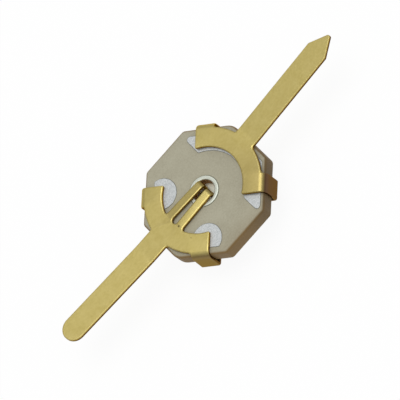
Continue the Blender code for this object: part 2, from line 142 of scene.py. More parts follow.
def arc_between(centre: np.ndarray, radius: float, first: np.ndarray, last: np.ndarray) -> np.ndarray:
    """Sample the arc from one point to another, the shorter way round the centre.

    Args:
        centre: Middle of the arc.
        radius: Its radius.
        first: Where it starts.
        last: Where it ends.

    Returns:
        The points, both ends included.
    """
    start = math.atan2(*(first - centre)[::-1])
    end = math.atan2(*(last - centre)[::-1])
    return arc(centre, radius, start, start + (end - start + math.pi) % (2 * math.pi) - math.pi)


def fillet(before: np.ndarray, corner: np.ndarray, after: np.ndarray, radius: float) -> np.ndarray:
    """Round the corner between two straight runs by an arc that touches both.

    Args:
        before: A point of the first run.
        corner: Where the runs would meet.
        after: A point of the second run.
        radius: The arc's radius.

    Returns:
        The arc's points, from the first run to the second.
    """
    back, ahead = unit(np.subtract(before, corner)), unit(np.subtract(after, corner))
    half = math.acos(float(back @ ahead)) / 2
    centre = corner + unit(back + ahead) * radius / math.sin(half)
    reach = radius / math.tan(half)
    return arc_between(centre, radius, corner + back * reach, corner + ahead * reach)


def rounded_end(
    run: np.ndarray, first: np.ndarray, second: np.ndarray, back: np.ndarray, radius: float
) -> np.ndarray:
    """Round both corners at the end of a tongue.

    Args:
        run: Points up to the end along one edge.
        first: The corner where that edge would end.
        second: The corner where the other edge would start.
        back: Points from the end along the other edge.
        radius: Radius of both corners.

    Returns:
        The two arcs' points, in one run.
    """
    return np.concatenate([
        fillet(run[-1], first, second, radius),
        fillet(first, second, back[0], radius),
    ])


def circle_fillet(
    point: np.ndarray, direction: np.ndarray, circle: float, radius: float, inside: bool, side: int = 1
) -> np.ndarray:
    """Round the corner where a straight edge meets a circle about the origin.

    The rounding's middle lies at its radius from the edge and at circle + radius from
    the origin, or circle - radius where the rounding lies inside the circle.

    Args:
        point: A point of the edge.
        direction: The way the edge runs, towards the corner.
        circle: Radius of the circle.
        radius: Radius of the rounding.
        inside: Whether the rounding lies inside the circle.
        side: 1 for a rounding on the edge's left, -1 for its right.

    Returns:
        The arc from the edge to the circle.
    """
    ahead = unit(direction)
    left = side * np.array([-ahead[1], ahead[0]])
    base = np.asarray(point) + left * radius
    reach = circle - radius if inside else circle + radius
    along = base @ ahead
    centre = base + ahead * (math.sqrt(along**2 - base @ base + reach**2) - along)
    return arc_between(centre, radius, centre - left * radius, centre * circle / reach)


def angle_of(point: np.ndarray) -> float:
    """Direction of a point from the origin, in radians."""
    return math.atan2(point[1], point[0])


def joined(*runs: np.ndarray) -> np.ndarray:
    """Chain runs of points into one outline and drop each point that repeats the last.

    Args:
        runs: Runs of points, or single points.

    Returns:
        The outline.
    """
    points = np.concatenate([np.atleast_2d(run) for run in runs])
    gaps = np.linalg.norm(np.diff(points, axis=0, prepend=points[-1:]), axis=1)
    return points[gaps > WELD_MM]


def mirror_run(run: np.ndarray) -> np.ndarray:
    """Mirror a run of points in the X axis and turn its order round."""
    return run[::-1] * (1, -1)


def evenly(outline: np.ndarray, spacing: float) -> np.ndarray:
    """Sample a closed outline again at even steps of its length.

    Args:
        outline: The outline.
        spacing: Length of a step.

    Returns:
        The new outline.
    """
    closed = np.concatenate([outline, outline[:1]])
    length = np.concatenate([[0], np.cumsum(np.linalg.norm(np.diff(closed, axis=0), axis=1))])
    stations = np.linspace(0, length[-1], round(length[-1] / spacing), endpoint=False)
    return np.stack([np.interp(stations, length, closed[:, k]) for k in (0, 1)], axis=1)


def softened(outline: np.ndarray, spread: float) -> np.ndarray:
    """Round the corners of an evenly sampled closed outline.

    Each point becomes the mean of its neighbours, weighted by a bell curve that is cut
    off at three times its spread.

    Args:
        outline: The outline.
        spread: Spread of the bell curve, in points.

    Returns:
        The rounded outline.
    """
    reach = math.ceil(3 * spread)
    shift = np.arange(-reach, reach + 1)
    weight = np.exp(-0.5 * (shift / spread) ** 2)
    index = (np.arange(len(outline))[:, None] + shift) % len(outline)
    return np.einsum("ijk,j->ik", outline[index], weight / weight.sum())


def inward(outline: np.ndarray, deepest: float = 0.0, share: float = 0.8) -> np.ndarray:
    """Give each corner's step for one unit of inset of an outline that runs anticlockwise.

    With n1 and n2 the inward normals of the edges before and after the corner, the
    step is (n1 + n2) / (1 + n1.n2), so that both edges move in by one unit. Where the
    outline turns left so tightly that the deepest inset would pass a set share of its
    radius, the step shrinks to keep that share.

    Args:
        outline: The outline.
        deepest: The largest inset that the steps will be used for.
        share: The share of the radius that an inset may reach.

    Returns:
        One step for each point.
    """
    edge = np.roll(outline, -1, axis=0) - outline
    length = np.linalg.norm(edge, axis=1)
    after = np.stack([-edge[:, 1], edge[:, 0]], axis=1) / length[:, None]
    before = np.roll(after, 1, axis=0)
    step = (before + after) / (1 + np.sum(before * after, axis=1))[:, None]
    turn = np.arcsin(np.clip(before[:, 0] * after[:, 1] - before[:, 1] * after[:, 0], -1, 1))
    radius = np.minimum(length, np.roll(length, 1)) / np.maximum(turn, TINY)
    held = np.minimum(1.0, share * radius / max(deepest, TINY))
    return step * np.minimum(held, np.minimum(np.roll(held, 1), np.roll(held, -1)))[:, None]


# Surfaces


def quads(rows: int, columns: int, wrap: bool) -> np.ndarray:
    """Index the four corners of each cell of a grid, row by row.

    Args:
        rows: Number of the grid's rows.
        columns: Number of points in a row.
        wrap: Whether each row's end joins its start.

    Returns:
        Four point numbers for each cell.
    """
    index = np.arange(rows * columns).reshape(rows, columns)
    right = np.roll(index, -1, axis=1)
    cells = np.stack([index[:-1], right[:-1], right[1:], index[1:]], axis=-1)
    return (cells if wrap else cells[:, :-1]).reshape(-1, 4)


# One share for all points, or an array of them
Shares = np.ndarray | float


class Shell:
    """One piece's surface, gathered from patches that are welded where they meet."""

    def __init__(self) -> None:
        """Start with no patches."""
        self.points: list[np.ndarray] = []
        self.marks: list[np.ndarray] = []
        self.painted_shades: list[np.ndarray] = []
        self.faces: list[list[int]] = []

    def add(self, points: np.ndarray, faces: np.ndarray, mark: Shares = 0.0, painted_shade: Shares = 0.0) -> None:
        """Add a patch.

        Args:
            points: Its points, one (x, y, z) row each, in millimetres.
            faces: Point numbers of each face.
            mark: Share of the finish's second colour, for all points or one by one.
            painted_shade: Share of the finish's painted shade, likewise.
        """
        start = sum(map(len, self.points))
        self.points.append(points)
        self.marks.append(np.broadcast_to(np.asarray(mark, float), len(points)))
        self.painted_shades.append(np.broadcast_to(np.asarray(painted_shade, float), len(points)))
        self.faces += (np.asarray(faces) + start).tolist()

    def add_grid(self, grid: np.ndarray, wrap: bool, mark: Shares = 0.0, painted_shade: Shares = 0.0) -> None:
        """Add a grid of points.

        Args:
            grid: Its points, of shape (rows, columns, 3).
            wrap: Whether each row's end joins its start.
            mark: Share of the finish's second colour, for the whole grid, its rows or its points.
            painted_shade: Share of the finish's painted shade, likewise.
        """
        size = grid.shape[:2]
        spread = [np.broadcast_to(np.asarray(share, float), size).reshape(-1) for share in (mark, painted_shade)]
        self.add(grid.reshape(-1, 3), quads(*size, wrap), *spread)

    def add_pole(self, ring: np.ndarray, mark: float = 0.0) -> None:
        """Close a ring of points with a fan about its middle.

        Args:
            ring: The ring's points.
            mark: Share of the finish's second colour.
        """
        count = len(ring)
        points = np.concatenate([ring, ring.mean(axis=0, keepdims=True)])
        index = np.arange(count)
        fan = np.stack([index, np.roll(index, -1), np.full(count, count)], axis=1)
        self.add(points, fan, mark)

    def build(self, name: str, finish: "Finish", body: str, node: str) -> None:
        """Weld the patches into one object that rides on a body and stands for a node.

        Args:
            name: Name of the new object.
            finish: Its material.
            body: The body it moves with.
            node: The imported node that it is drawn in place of.
        """
        points = np.concatenate(self.points) * MM
        mesh = bpy.data.meshes.new(name)
        mesh.from_pydata(points, [], self.faces)
        for title, shares in (("mark", self.marks), ("painted_shade", self.painted_shades)):
            attribute = mesh.attributes.new(title, "FLOAT", "POINT")
            attribute.data.foreach_set("value", np.concatenate(shares))

        bm = bmesh.new()
        bm.from_mesh(mesh)
        bmesh.ops.remove_doubles(bm, verts=bm.verts, dist=WELD_MM * MM)
        bmesh.ops.dissolve_degenerate(bm, edges=bm.edges, dist=WELD_MM * MM)
        bmesh.ops.recalc_face_normals(bm, faces=bm.faces)
        open_edges = sum(not edge.is_manifold for edge in bm.edges)
        bm.to_mesh(mesh)
        bm.free()
        mesh.shade_smooth()
        mesh.set_sharp_from_angle(angle=math.radians(SHARP_DEG))
        mesh.materials.append(finish.material())

        piece = bpy.data.objects.new(name, mesh)
        bpy.context.scene.collection.objects.link(piece)
        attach(piece, body)
        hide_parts(node)
        LOG.info("%s: %d faces, %d open edges, for %s", name, len(mesh.polygons), open_edges, node)


def stacked(*parts: np.ndarray) -> np.ndarray:
    """Spread coordinates over one grid and put them side by side as points."""
    return np.stack(np.broadcast_arrays(*parts), axis=-1)


def turned(profile: np.ndarray, angles: np.ndarray) -> np.ndarray:
    """Turn a profile about Z: the point at row i, column j is (r_i cos a_j, r_i sin a_j, z_i).

    Args:
        profile: (radius, height) pairs.
        angles: Directions of the points on each ring.

    Returns:
        The grid, one ring to a row.
    """
    radius, height = profile[:, 0, None], profile[:, 1, None]
    return stacked(radius * np.cos(angles), radius * np.sin(angles), height)


def rounded_edge(radius: float, steps: int = 6, margin: float = 0.25) -> np.ndarray:
    """Round an edge: the inset is radius * (1 - sin a) and the drop radius * (1 - cos a).

    Args:
        radius: The edge's radius.
        steps: Steps of a, from 0 to a quarter turn.
        margin: How much further in the first pair lies, to keep the face flat, in radii.

    Returns:
        (inset, drop) pairs from the face down to the side.
    """
    angle = np.linspace(0, QUARTER, steps + 1)
    bend = radius * np.stack([1 - np.sin(angle), 1 - np.cos(angle)], axis=1)
    return np.concatenate([[[radius * (1 + margin), 0.0]], bend])


def fill(ring: np.ndarray, rows: list[np.ndarray]) -> tuple[np.ndarray, np.ndarray]:
    """Cover the inside of a ring with triangles that also follow rows of points in it.

    Args:
        ring: The closed outline, as (x, y) points.
        rows: Runs of points across it, such as the lines where a sheet bends.

    Returns:
        The triangles' points and the three point numbers of each.
    """
    points = [Vector(point) for point in np.concatenate([ring, *rows]).tolist()]
    count = len(ring)
    edges = [(i, (i + 1) % count) for i in range(count)]
    for row in rows:
        edges += [(i, i + 1) for i in range(count, count + len(row) - 1)]
        count += len(row)
    found = delaunay_2d_cdt(points, edges, [list(range(len(ring)))], INSIDE_ONLY, WELD_MM)
    return np.array([tuple(point) for point in found[0]]), np.array(found[2])


def add_slab(
    shell: Shell,
    outline: np.ndarray,
    section: np.ndarray,
    marks: np.ndarray,
    rows: list[np.ndarray],
    place: Callable[[np.ndarray], np.ndarray],
    painted_shade: Callable[[np.ndarray], np.ndarray],
) -> None:
    """Add a thin slab: an edge section carried along an outline, and a face on each side.

    The section's point i lies at outline + inset_i * inward step, at height_i. The two
    faces fill the section's first and last ring. place then moves every point at once.

    Args:
        shell: The surface that the slab joins.
        outline: The slab's outline, anticlockwise.
        section: (inset, height) pairs from the upper face round the edge to the lower, for
            the whole outline or for each of its points.
        marks: The mark of each of the section's points, likewise.
        rows: Lines across the slab that its faces follow, for bends.
        place: Takes flat (x, y, height) points to where they end up.
        painted_shade: Gives the painted shade of flat (x, y) points.
    """
    section = section.reshape(len(section), -1, 2)
    step = inward(outline, section[..., 0].max())
    rings = outline[None] + section[..., :1] * step[None]
    heights = np.broadcast_to(section[..., 1:], (*rings.shape[:2], 1))
    grid = np.concatenate([rings, heights], axis=-1)
    painted_shades = painted_shade(rings.reshape(-1, 2)).reshape(rings.shape[:2])
    marks = np.broadcast_to(marks.reshape(len(section), -1), rings.shape[:2])
    shell.add_grid(place(grid.reshape(-1, 3)).reshape(grid.shape), True, marks, painted_shades)
    for end in (0, -1):
        flat, faces = fill(rings[end], rows)
        face = np.column_stack([flat, np.full(len(flat), section[end, 0, 1])])
        shell.add(place(face), faces, marks[end, 0], painted_shade(flat))


# Finishes


def linear(code: str) -> tuple[float, float, float, float]:
    """Turn an sRGB colour into linear values.

    Args:
        code: The colour as a hash sign and six hex digits.

    Returns:
        Red, green, blue and a full alpha.
    """
    srgb = np.array([int(code[k : k + 2], 16) for k in (1, 3, 5)]) / 255
    value = np.where(srgb <= 0.04045, srgb / 12.92, ((srgb + 0.055) / 1.055) ** 2.4)
    return (*value.tolist(), 1.0)


def per_metre(size_mm: float) -> float:
    """Scale of a pattern whose feature has this size, on coordinates in metres."""
    return 1.0 / (size_mm * MM)


def add_node(
    tree: bpy.types.NodeTree, kind: str, sockets: dict | None = None, **settings: object
) -> bpy.types.Node:
    """Add a shader node with its settings, its values and its links.

    Args:
        tree: The node tree.
        kind: The node's type.
        sockets: Value or incoming socket of each input, by its name or number.
        settings: Properties of the node itself.

    Returns:
        The node.
    """
    node = tree.nodes.new(kind)
    for key, value in settings.items():
        setattr(node, key, value)
    for key, value in (sockets or {}).items():
        if isinstance(value, bpy.types.NodeSocket):
            tree.links.new(value, node.inputs[key])
        else:
            node.inputs[key].default_value = value
    return node


@dataclass(frozen=True)
class Finish:
    """A material by its common name and how its surface was made.

    Its face is a pattern of two tones: dark up to the first number of span, light from
    the second on.
    """

    name: str
    slot: str
    light: str = "#FFFFFF"
    dark: str = "#FFFFFF"
    span: tuple[float, float] = (0.0, 1.0)
    roughness: float = 0.5
    metallic: float = 0.0
    bump_mm: float = 0.0
    bump_strength: float = 0.5

    def material(self) -> bpy.types.Material:
        """Make the material the first time it is asked for.

        Returns:
            The material.
        """
        if self.name in bpy.data.materials:
            return bpy.data.materials[self.name]
        made = bpy.data.materials.new(self.name)
        made.use_nodes = True
        shader = made.node_tree.nodes["Principled BSDF"]
        shader.inputs["Roughness"].default_value = self.roughness
        shader.inputs["Metallic"].default_value = self.metallic
        self.dress(made.node_tree, shader)
        return made

    def dress(self, tree: bpy.types.NodeTree, shader: bpy.types.Node) -> None:
        """Link this finish's pattern to the shader."""
        raise NotImplementedError

    def coat(
        self, tree: bpy.types.NodeTree, shader: bpy.types.Node, pattern: bpy.types.NodeSocket,
        layers: list[tuple[bpy.types.NodeSocket, str]], relief: bpy.types.NodeSocket,
    ) -> None:
        """Give the shader its two tones, the colours over them and its fine relief.

        Args:
            tree: The node tree.
            shader: The tree's shader.
            pattern: Tells the two tones apart, and is about 0.5 on the whole.
            layers: The share and the hex colour of each further colour, from the lowest up.
            relief: The pattern that stands up by bump_mm where it is 1.
        """
        tones = add_node(tree, "ShaderNodeValToRGB", {"Fac": pattern})
        for element, position, code in zip(tones.color_ramp.elements, self.span, (self.dark, self.light)):
            element.position = position
            element.color = linear(code)
        colour = tones.outputs["Color"]
        below, above = MIX_COLOURS
        for share, code in layers:
            sockets = {MIX_SHARE: share, below: colour, above: linear(code)}
            colour = add_node(tree, "ShaderNodeMix", sockets, data_type="RGBA").outputs[MIX_RESULT]
        bump = add_node(
            tree, "ShaderNodeBump",
            {"Height": relief, "Distance": self.bump_mm * MM, "Strength": self.bump_strength},
        ).outputs[0]
        tree.links.new(colour, shader.inputs["Base Color"])
        tree.links.new(bump, shader.inputs["Normal"])


@dataclass(frozen=True)
class PressedCeramic(Finish):
    """Steatite, pressed and fired, with a lapped face: matt, finely grained, no gloss."""

    light: str = "#AEAA94"
    dark: str = "#A19C86"
    span: tuple[float, float] = (0.36, 0.62)
    side: str = "#7B6135"
    # Colour of the painted shade on the sides below the -Y tab
    painted_side_shade: str = "#32270F"
    grain_mm: float = 0.07
    cloud_mm: float = 0.9
    roughness: float = 0.62
    bump_mm: float = 0.004

    def dress(self, tree: bpy.types.NodeTree, shader: bpy.types.Node) -> None:
        """Mix two body colours by clouds and grain, brown the unlapped sides, and darken the
        face near its -Y edge and the sides below the -Y tab with painted shade.

        Args:
            tree: The node tree.
            shader: The tree's shader.
        """
        place = add_node(tree, "ShaderNodeTexCoord").outputs["Object"]
        mark, painted_shade = (
            add_node(tree, "ShaderNodeAttribute", attribute_name=name).outputs["Fac"]
            for name in ("mark", "painted_shade")
        )
        cloud, grain = (
            add_node(
                tree, "ShaderNodeTexNoise", {"Vector": place, "Scale": per_metre(size), "Detail": detail}
            ).outputs["Fac"]
            for size, detail in ((self.cloud_mm, 3.0), (self.grain_mm, 2.0))
        )
        first, second = MIX_NUMBERS
        both = add_node(tree, "ShaderNodeMix", {MIX_SHARE: 0.5, first: cloud, second: grain}).outputs[0]
        self.coat(tree, shader, both, [(mark, self.side), (painted_shade, self.painted_side_shade)], grain)


@dataclass(frozen=True)
class RolledBrass(Finish):
    """Brass sheet, cold rolled and blanked: satin, softly mottled faces and dark torn edges, partly painted
    shade.
    """

    light: str = "#CFBF7C"
    dark: str = "#C2B16A"
    span: tuple[float, float] = (0.28, 0.72)
    sheared: str = "#B0842C"
    # Colour of the torn lower wall: a dull fracture zone, darkened further as painted shade
    torn_and_shade: str = "#563A14"
    sheared_mark: float = 0.6
    # Colour of the painted shade and painted dark reflection on the -Y tab, the band and the tines
    painted_shade: str = "#69503B"
    fleck: str = "#5E5232"
    fleck_share: float = 0.85
    flecks: tuple[tuple[float, float, float], ...] = ((-1.59, -0.30, 0.055), (-1.57, -1.05, 0.025))
    grazing: str = "#E6CFA6"
    grain_mm: float = 0.07
    stretch: float = 1.6
    blotch_mm: float = 0.35
    roughness: float = 0.38
    smoother: float = 0.05
    rougher: float = 0.07
    metallic: float = 1.0
    bump_mm: float = 0.0012
    bump_strength: float = 0.6

    def dress(self, tree: bpy.types.NodeTree, shader: bpy.types.Node) -> None:
        """Draw grain along the strip, blotches, cut edges, painted shade and dark reflection, and flecks of
        dirt.

        A fleck is at its darkest within half its radius and fades out at its radius.

        Args:
            tree: The node tree.
            shader: The tree's shader.
        """
        place = add_node(tree, "ShaderNodeTexCoord").outputs["Object"]
        mark, painted_shade = (
            add_node(tree, "ShaderNodeAttribute", attribute_name=name).outputs["Fac"]
            for name in ("mark", "painted_shade")
        )
        drawn = add_node(
            tree, "ShaderNodeMapping", {"Vector": place, "Scale": (1 / self.stretch, 1.0, 1.0)}
        ).outputs[0]
        grain, blotch = (
            add_node(
                tree, "ShaderNodeTexNoise", {"Vector": vector, "Scale": per_metre(size), "Detail": detail}
            ).outputs["Fac"]
            for vector, size, detail in ((drawn, self.grain_mm, 3.0), (place, self.blotch_mm, 4.0))
        )
        sheared, torn_and_shade = (
            add_node(
                tree, "ShaderNodeMapRange", {"Value": mark, "From Min": low, "From Max": high}
            ).outputs[0]
            for low, high in ((0.0, self.sheared_mark), (self.sheared_mark, 1.0))
        )
        # The torn wall's dark is partly painted shade; the layer after it is painted shade and dark
        # reflection
        layers = [(sheared, self.sheared), (torn_and_shade, self.torn_and_shade), (painted_shade, self.painted_shade)]
        flat = add_node(
            tree, "ShaderNodeVectorMath", {0: place, 1: (1.0, 1.0, 0.0)}, operation="MULTIPLY"
        ).outputs[0]
        for x, y, radius in self.flecks:
            away = add_node(
                tree, "ShaderNodeVectorMath", {0: flat, 1: (x * MM, y * MM, 0.0)}, operation="DISTANCE"
            ).outputs["Value"]
            share = add_node(tree, "ShaderNodeMapRange", {
                "Value": away, "From Min": radius * MM / 2, "From Max": radius * MM,
                "To Min": self.fleck_share, "To Max": 0.0,
            }).outputs[0]
            layers.append((share, self.fleck))
        rough = add_node(tree, "ShaderNodeMapRange", {
            "Value": grain, "To Min": self.roughness - self.smoother, "To Max": self.roughness + self.rougher,
        }).outputs[0]
        tree.links.new(rough, shader.inputs["Roughness"])
        shader.inputs["Specular Tint"].default_value = linear(self.grazing)
        first, second = MIX_NUMBERS
        both = add_node(tree, "ShaderNodeMix", {MIX_SHARE: 0.5, first: grain, second: blotch}).outputs[0]
        self.coat(tree, shader, both, layers, grain)


@dataclass(frozen=True)
class FiredSilver(Finish):
    """Silver paste, screened and fired: a frosty, slightly blue white with a thin dark rim."""

    light: str = "#D2D5D5"
    dark: str = "#B6BABA"
    span: tuple[float, float] = (0.35, 0.65)
    rim: str = "#77766C"
    grain_mm: float = 0.045
    metallic: float = 0.6
    bump_mm: float = 0.004

    def dress(self, tree: bpy.types.NodeTree, shader: bpy.types.Node) -> None:
        """Frost the silver with a fine grain and darken its thin rim.

        Args:
            tree: The node tree.
            shader: The tree's shader.
        """
        place = add_node(tree, "ShaderNodeTexCoord").outputs["Object"]
        mark = add_node(tree, "ShaderNodeAttribute", attribute_name="mark").outputs["Fac"]
        grain = add_node(
            tree, "ShaderNodeTexNoise", {"Vector": place, "Scale": per_metre(self.grain_mm), "Detail": 3.0}
        ).outputs["Fac"]
        self.coat(tree, shader, grain, [(mark, self.rim)], grain)


@dataclass(frozen=True)
class TurnedPlate(Finish):
    """Brass, turned on a lathe and plated: pale metal with fine rings about its axis."""

    light: str = "#D6DACE"
    dark: str = "#C8CCC0"
    span: tuple[float, float] = (0.35, 0.65)
    # Tarnish, which in the cup and at the foot of the flare stands for painted reflection and shade of the
    # brass tines
    tarnish_and_reflection: str = "#D2A066"
    ring_mm: float = 0.02
    metallic: float = 1.0
    bump_mm: float = 0.0015

    def dress(self, tree: bpy.types.NodeTree, shader: bpy.types.Node) -> None:
        """Draw tool marks as noise of the distance from the axis, and lay the tarnish colour on by the marks,
        which in the cup is painted reflection and shade.

        Args:
            tree: The node tree.
            shader: The tree's shader.
        """
        place = add_node(tree, "ShaderNodeTexCoord").outputs["Object"]
        mark = add_node(tree, "ShaderNodeAttribute", attribute_name="mark").outputs["Fac"]
        flat = add_node(
            tree, "ShaderNodeVectorMath", {0: place, 1: (1.0, 1.0, 0.0)}, operation="MULTIPLY"
        ).outputs[0]
        reach = add_node(tree, "ShaderNodeVectorMath", {0: flat}, operation="LENGTH").outputs["Value"]
        height = add_node(tree, "ShaderNodeSeparateXYZ", {0: place}).outputs["Z"]
        track = add_node(tree, "ShaderNodeCombineXYZ", {"X": reach, "Y": height}).outputs[0]
        rings = add_node(
            tree, "ShaderNodeTexNoise", {"Vector": track, "Scale": per_metre(self.ring_mm), "Detail": 2.0}
        ).outputs["Fac"]
        self.coat(tree, shader, rings, [(mark, self.tarnish_and_reflection)], rings)


@dataclass(frozen=True)
class FloorCard(Finish):
    """Smooth white card, which reads as the photograph's white ground."""

    glow: float = 0.92
    roughness: float = 0.9

    def dress(self, tree: bpy.types.NodeTree, shader: bpy.types.Node) -> None:
        """Mix plain card with white for eye, mirror and glass rays, so that shadows stay.

        Seen from below the card is clear, so that the part's underside can be looked at.

        Args:
            tree: The node tree.
            shader: The tree's shader.
        """
        shader.inputs["Base Color"].default_value = linear(self.light)
        path = add_node(tree, "ShaderNodeLightPath")
        seen = path.outputs["Is Camera Ray"]
        for ray in ("Is Glossy Ray", "Is Transmission Ray"):
            seen = add_node(
                tree, "ShaderNodeMath", {0: seen, 1: path.outputs[ray]}, operation="MAXIMUM"
            ).outputs[0]
        share = add_node(tree, "ShaderNodeMath", {0: seen, 1: self.glow}, operation="MULTIPLY").outputs[0]
        white = add_node(
            tree, "ShaderNodeEmission", {"Color": linear(self.light), "Strength": 1.0}
        ).outputs[0]
        mixed = add_node(tree, "ShaderNodeMixShader", {0: share, 1: shader.outputs[0], 2: white}).outputs[0]
        below = add_node(tree, "ShaderNodeNewGeometry").outputs["Backfacing"]
        clear = add_node(tree, "ShaderNodeBsdfTransparent").outputs[0]
        surface = add_node(tree, "ShaderNodeMixShader", {0: below, 1: mixed, 2: clear}).outputs[0]
        tree.links.new(surface, tree.nodes["Material Output"].inputs["Surface"])


BUFF_CERAMIC = PressedCeramic("pressed_buff_steatite", "buff_ceramic")
WHITE_CERAMIC = PressedCeramic(
    "lapped_white_ceramic", "white_ceramic", light="#DAD6CA", dark="#CBC6B8", side="#C4BEAE",
    painted_side_shade="#A39B88", roughness=0.5,
)
BRASS = RolledBrass("rolled_brass_sheet", "brass_sheet")
BRONZE = RolledBrass(
    "rolled_spring_bronze", "spring_bronze", light="#C89A66", dark="#B08452",
    sheared="#8A6440", torn_and_shade="#7A5A38", flecks=(),
)
SILVER = FiredSilver("fired_silver_paste", "fired_silver")
PLATE = TurnedPlate("turned_plated_brass", "silver_plated_brass")
CARD = FloorCard("white_card", "white_card")


# Pieces


@dataclass(frozen=True)
class Plate:
    """Octagonal ceramic plate with a bore and a counterbore.

    Its mark is the share of the unlapped sides' brown. It is full on the sides, and
    the face takes up to a set share of it near its -Y edge, as painted shade. Its second
    share is painted shade on the sides which face -Y, most on the diagonal ones.
    """

    space: Extent = extent_of("ceramic_stator")
    corner: float = 0.20
    worn_corner: float = 0.60
    worn: tuple[int, int] = (0, 4)
    edge: float = 0.12
    bore: float = 0.54
    counterbore: float = 0.626
    counterbore_depth: float = 0.09
    lip: float = 0.012
    lip_margin: float = 3.0
    # Painted shade on the face near its -Y edge, as a share of the sides' brown, and the power by which it
    # grows outwards
    painted_face_shade: float = 0.22
    painted_face_shade_power: int = 4
    # Share of the painted shade on the sides that face -Y
    painted_side_shade: float = 0.5
    brown_from: float = 0.25
    bore_marks: tuple[float, ...] = (0.7, 0.7, 0.3, 0.2, 0.0, 0.0)
    below_marks: tuple[float, float] = (1.0, 0.6)
    face_steps: tuple[float, ...] = (0.0, 0.5, 0.75, 0.9, 1.0)
    corner_steps: int = 8
    edge_steps: int = 8
    flat_points: int = 15

    def octagon(self, inset: np.ndarray) -> np.ndarray:
        """Outline of the plate at each of several insets.

        A corner's arc is c (cos m, sin m) + r (cos (m + t), sin (m + t)), with m the
        corner's direction, t up to half a side's angle either way, r the corner radius
        less the inset, and c the distance that leaves the flats at half less the inset.
        Two opposite corners are worn rounder than the rest.

        Args:
            inset: The insets, one ring each.

        Returns:
            Points of shape (insets, points, 2).
        """
        inset = np.asarray(inset, float)[:, None, None]
        corner = np.full((1, 8, 1), self.corner)
        corner[:, list(self.worn)] = self.worn_corner
        radius = corner - inset
        distance = (self.space.high[0] - corner) / math.cos(HALF_SIDE)
        middle = (HALF_SIDE + np.arange(8) * 2 * HALF_SIDE)[None, :, None]
        turn = middle + np.linspace(-HALF_SIDE, HALF_SIDE, self.corner_steps + 1)[None, None]
        arcs = stacked(
            distance * np.cos(middle) + radius * np.cos(turn),
            distance * np.sin(middle) + radius * np.sin(turn),
        )
        share = (np.arange(self.flat_points) + 1)[:, None] / (self.flat_points + 1)
        start, end = arcs[:, :, -1:], np.roll(arcs[:, :, :1], -1, axis=1)
        flats = start + (end - start) * share
        return np.concatenate([arcs, flats], axis=2).reshape(len(inset), -1, 2)

    def build(self) -> None:
        """Loft the rounded plate from its face over its side to the bore and back to the face.

        The face runs straight from the counterbore's lip to the rounded edge.
        """
        top, low = self.space.high[2], self.space.low[2]
        edge = rounded_edge(self.edge, self.edge_steps)
        upper = np.column_stack([edge[:, 0], top - edge[:, 1]])
        lower = np.column_stack([edge[::-1, 0], low + edge[::-1, 1]])
        outer = np.concatenate([upper, lower])
        rings = self.octagon(outer[:, 0])
        sides = stacked(rings[..., 0], rings[..., 1], outer[:, 1, None])

        direction = np.arctan2(rings[0, :, 1], rings[0, :, 0])
        floor, mouth, lip = top - self.counterbore_depth, self.counterbore, self.lip
        bore = np.array([
            [self.bore, low], [self.bore, floor], [mouth, floor],
            [mouth, top - lip], [mouth + lip, top], [mouth + self.lip_margin * lip, top],
        ])
        walls = turned(bore, direction)

        # Painted shade: the face and the top of its edge darken towards -Y
        painted_face_shade = self.painted_face_shade * np.clip(-sides[0, :, 1] / self.space.high[0], 0, 1)
        brown = np.clip(edge[:, 1] / (self.edge * self.brown_from), 0, 1)
        brown = np.concatenate([brown, np.ones(len(edge))])[:, None]
        # Painted shade on the sides that face -Y, darkest on the side at -45 degrees, below the tab there
        painted_side_shade = self.painted_side_shade * np.clip(np.sin(-2 * direction), 0, 1) * (direction < 0)
        shell = Shell()
        shell.add_grid(sides, True, painted_face_shade + (1 - painted_face_shade) * brown, painted_side_shade * brown)
        shell.add_grid(np.stack([sides[-1], walls[0]]), True, np.array(self.below_marks)[:, None])
        shell.add_grid(walls, True, np.array(self.bore_marks)[:, None])
        way_out = np.array(self.face_steps)[:, None]
        face = walls[-1] + (sides[0] - walls[-1]) * way_out[..., None]
        shell.add_grid(face, True, painted_face_shade * way_out**self.painted_face_shade_power)
        shell.build("plate", BUFF_CERAMIC, "stator", "ceramic_stator")


@dataclass(frozen=True)
class Bend:
    """A straight length of sheet and the bend down that follows it, on its lower face."""

    straight: float
    degrees: float = 0.0
    radius: float = 0.0

    def reach(self) -> float:
        """Length of the lower face within the bend."""
        return self.radius * math.radians(abs(self.degrees))


@dataclass(frozen=True)
class Fold:
    """A run of bends that a tongue of sheet follows, away from its fold line."""

    bends: tuple[Bend, ...]
    steps: int = 7
    samples: int = 2001

    def table(self) -> tuple[np.ndarray, np.ndarray, np.ndarray, np.ndarray]:
        """Follow the lower face: heading falls evenly with length in each bend.

        Returns:
            Length, way out, way up and heading at many points along it.
        """
        lengths, headings = [0.0], [0.0]
        for bend in self.bends:
            start = lengths[-1] + bend.straight
            lengths += [start, start + bend.reach()]
            headings += [headings[-1], headings[-1] - math.radians(bend.degrees)]
        length = np.linspace(0, lengths[-1], self.samples)
        heading = np.interp(length, lengths, headings)
        middle = (heading[1:] + heading[:-1]) / 2
        step = np.diff(length)
        out = np.concatenate([[0], np.cumsum(step * np.cos(middle))])
        up = np.concatenate([[0], np.cumsum(step * np.sin(middle))])
        return length, out, up, heading

    def stations(self) -> np.ndarray:
        """Find where the tongue needs a row of points.

        Returns:
            Lengths along the tongue, its end left out.
        """
        found, at = [0.0], 0.0
        for bend in self.bends:
            at += bend.straight
            found += (at + bend.reach() * np.linspace(0, 1, self.steps + 1)).tolist() if bend.degrees else []
            at += bend.reach()
        return np.unique(np.round(found, 6))

    def length(self) -> float:
        """Length of the whole tongue."""
        return sum(bend.straight + bend.reach() for bend in self.bends)

    def place(self, length: np.ndarray, height: np.ndarray) -> tuple[np.ndarray, np.ndarray]:
        """Carry points of the flat tongue to where the bends take them.

        Args:
            length: Their lengths past the fold line.
            height: Their heights over the lower face.

        Returns:
            Their ways out and ways up.
        """
        along, out, up, heading = self.table()
        turn = np.interp(length, along, heading)
        return (
            np.interp(length, along, out) - height * np.sin(turn),
            np.interp(length, along, up) + height * np.cos(turn),
        )


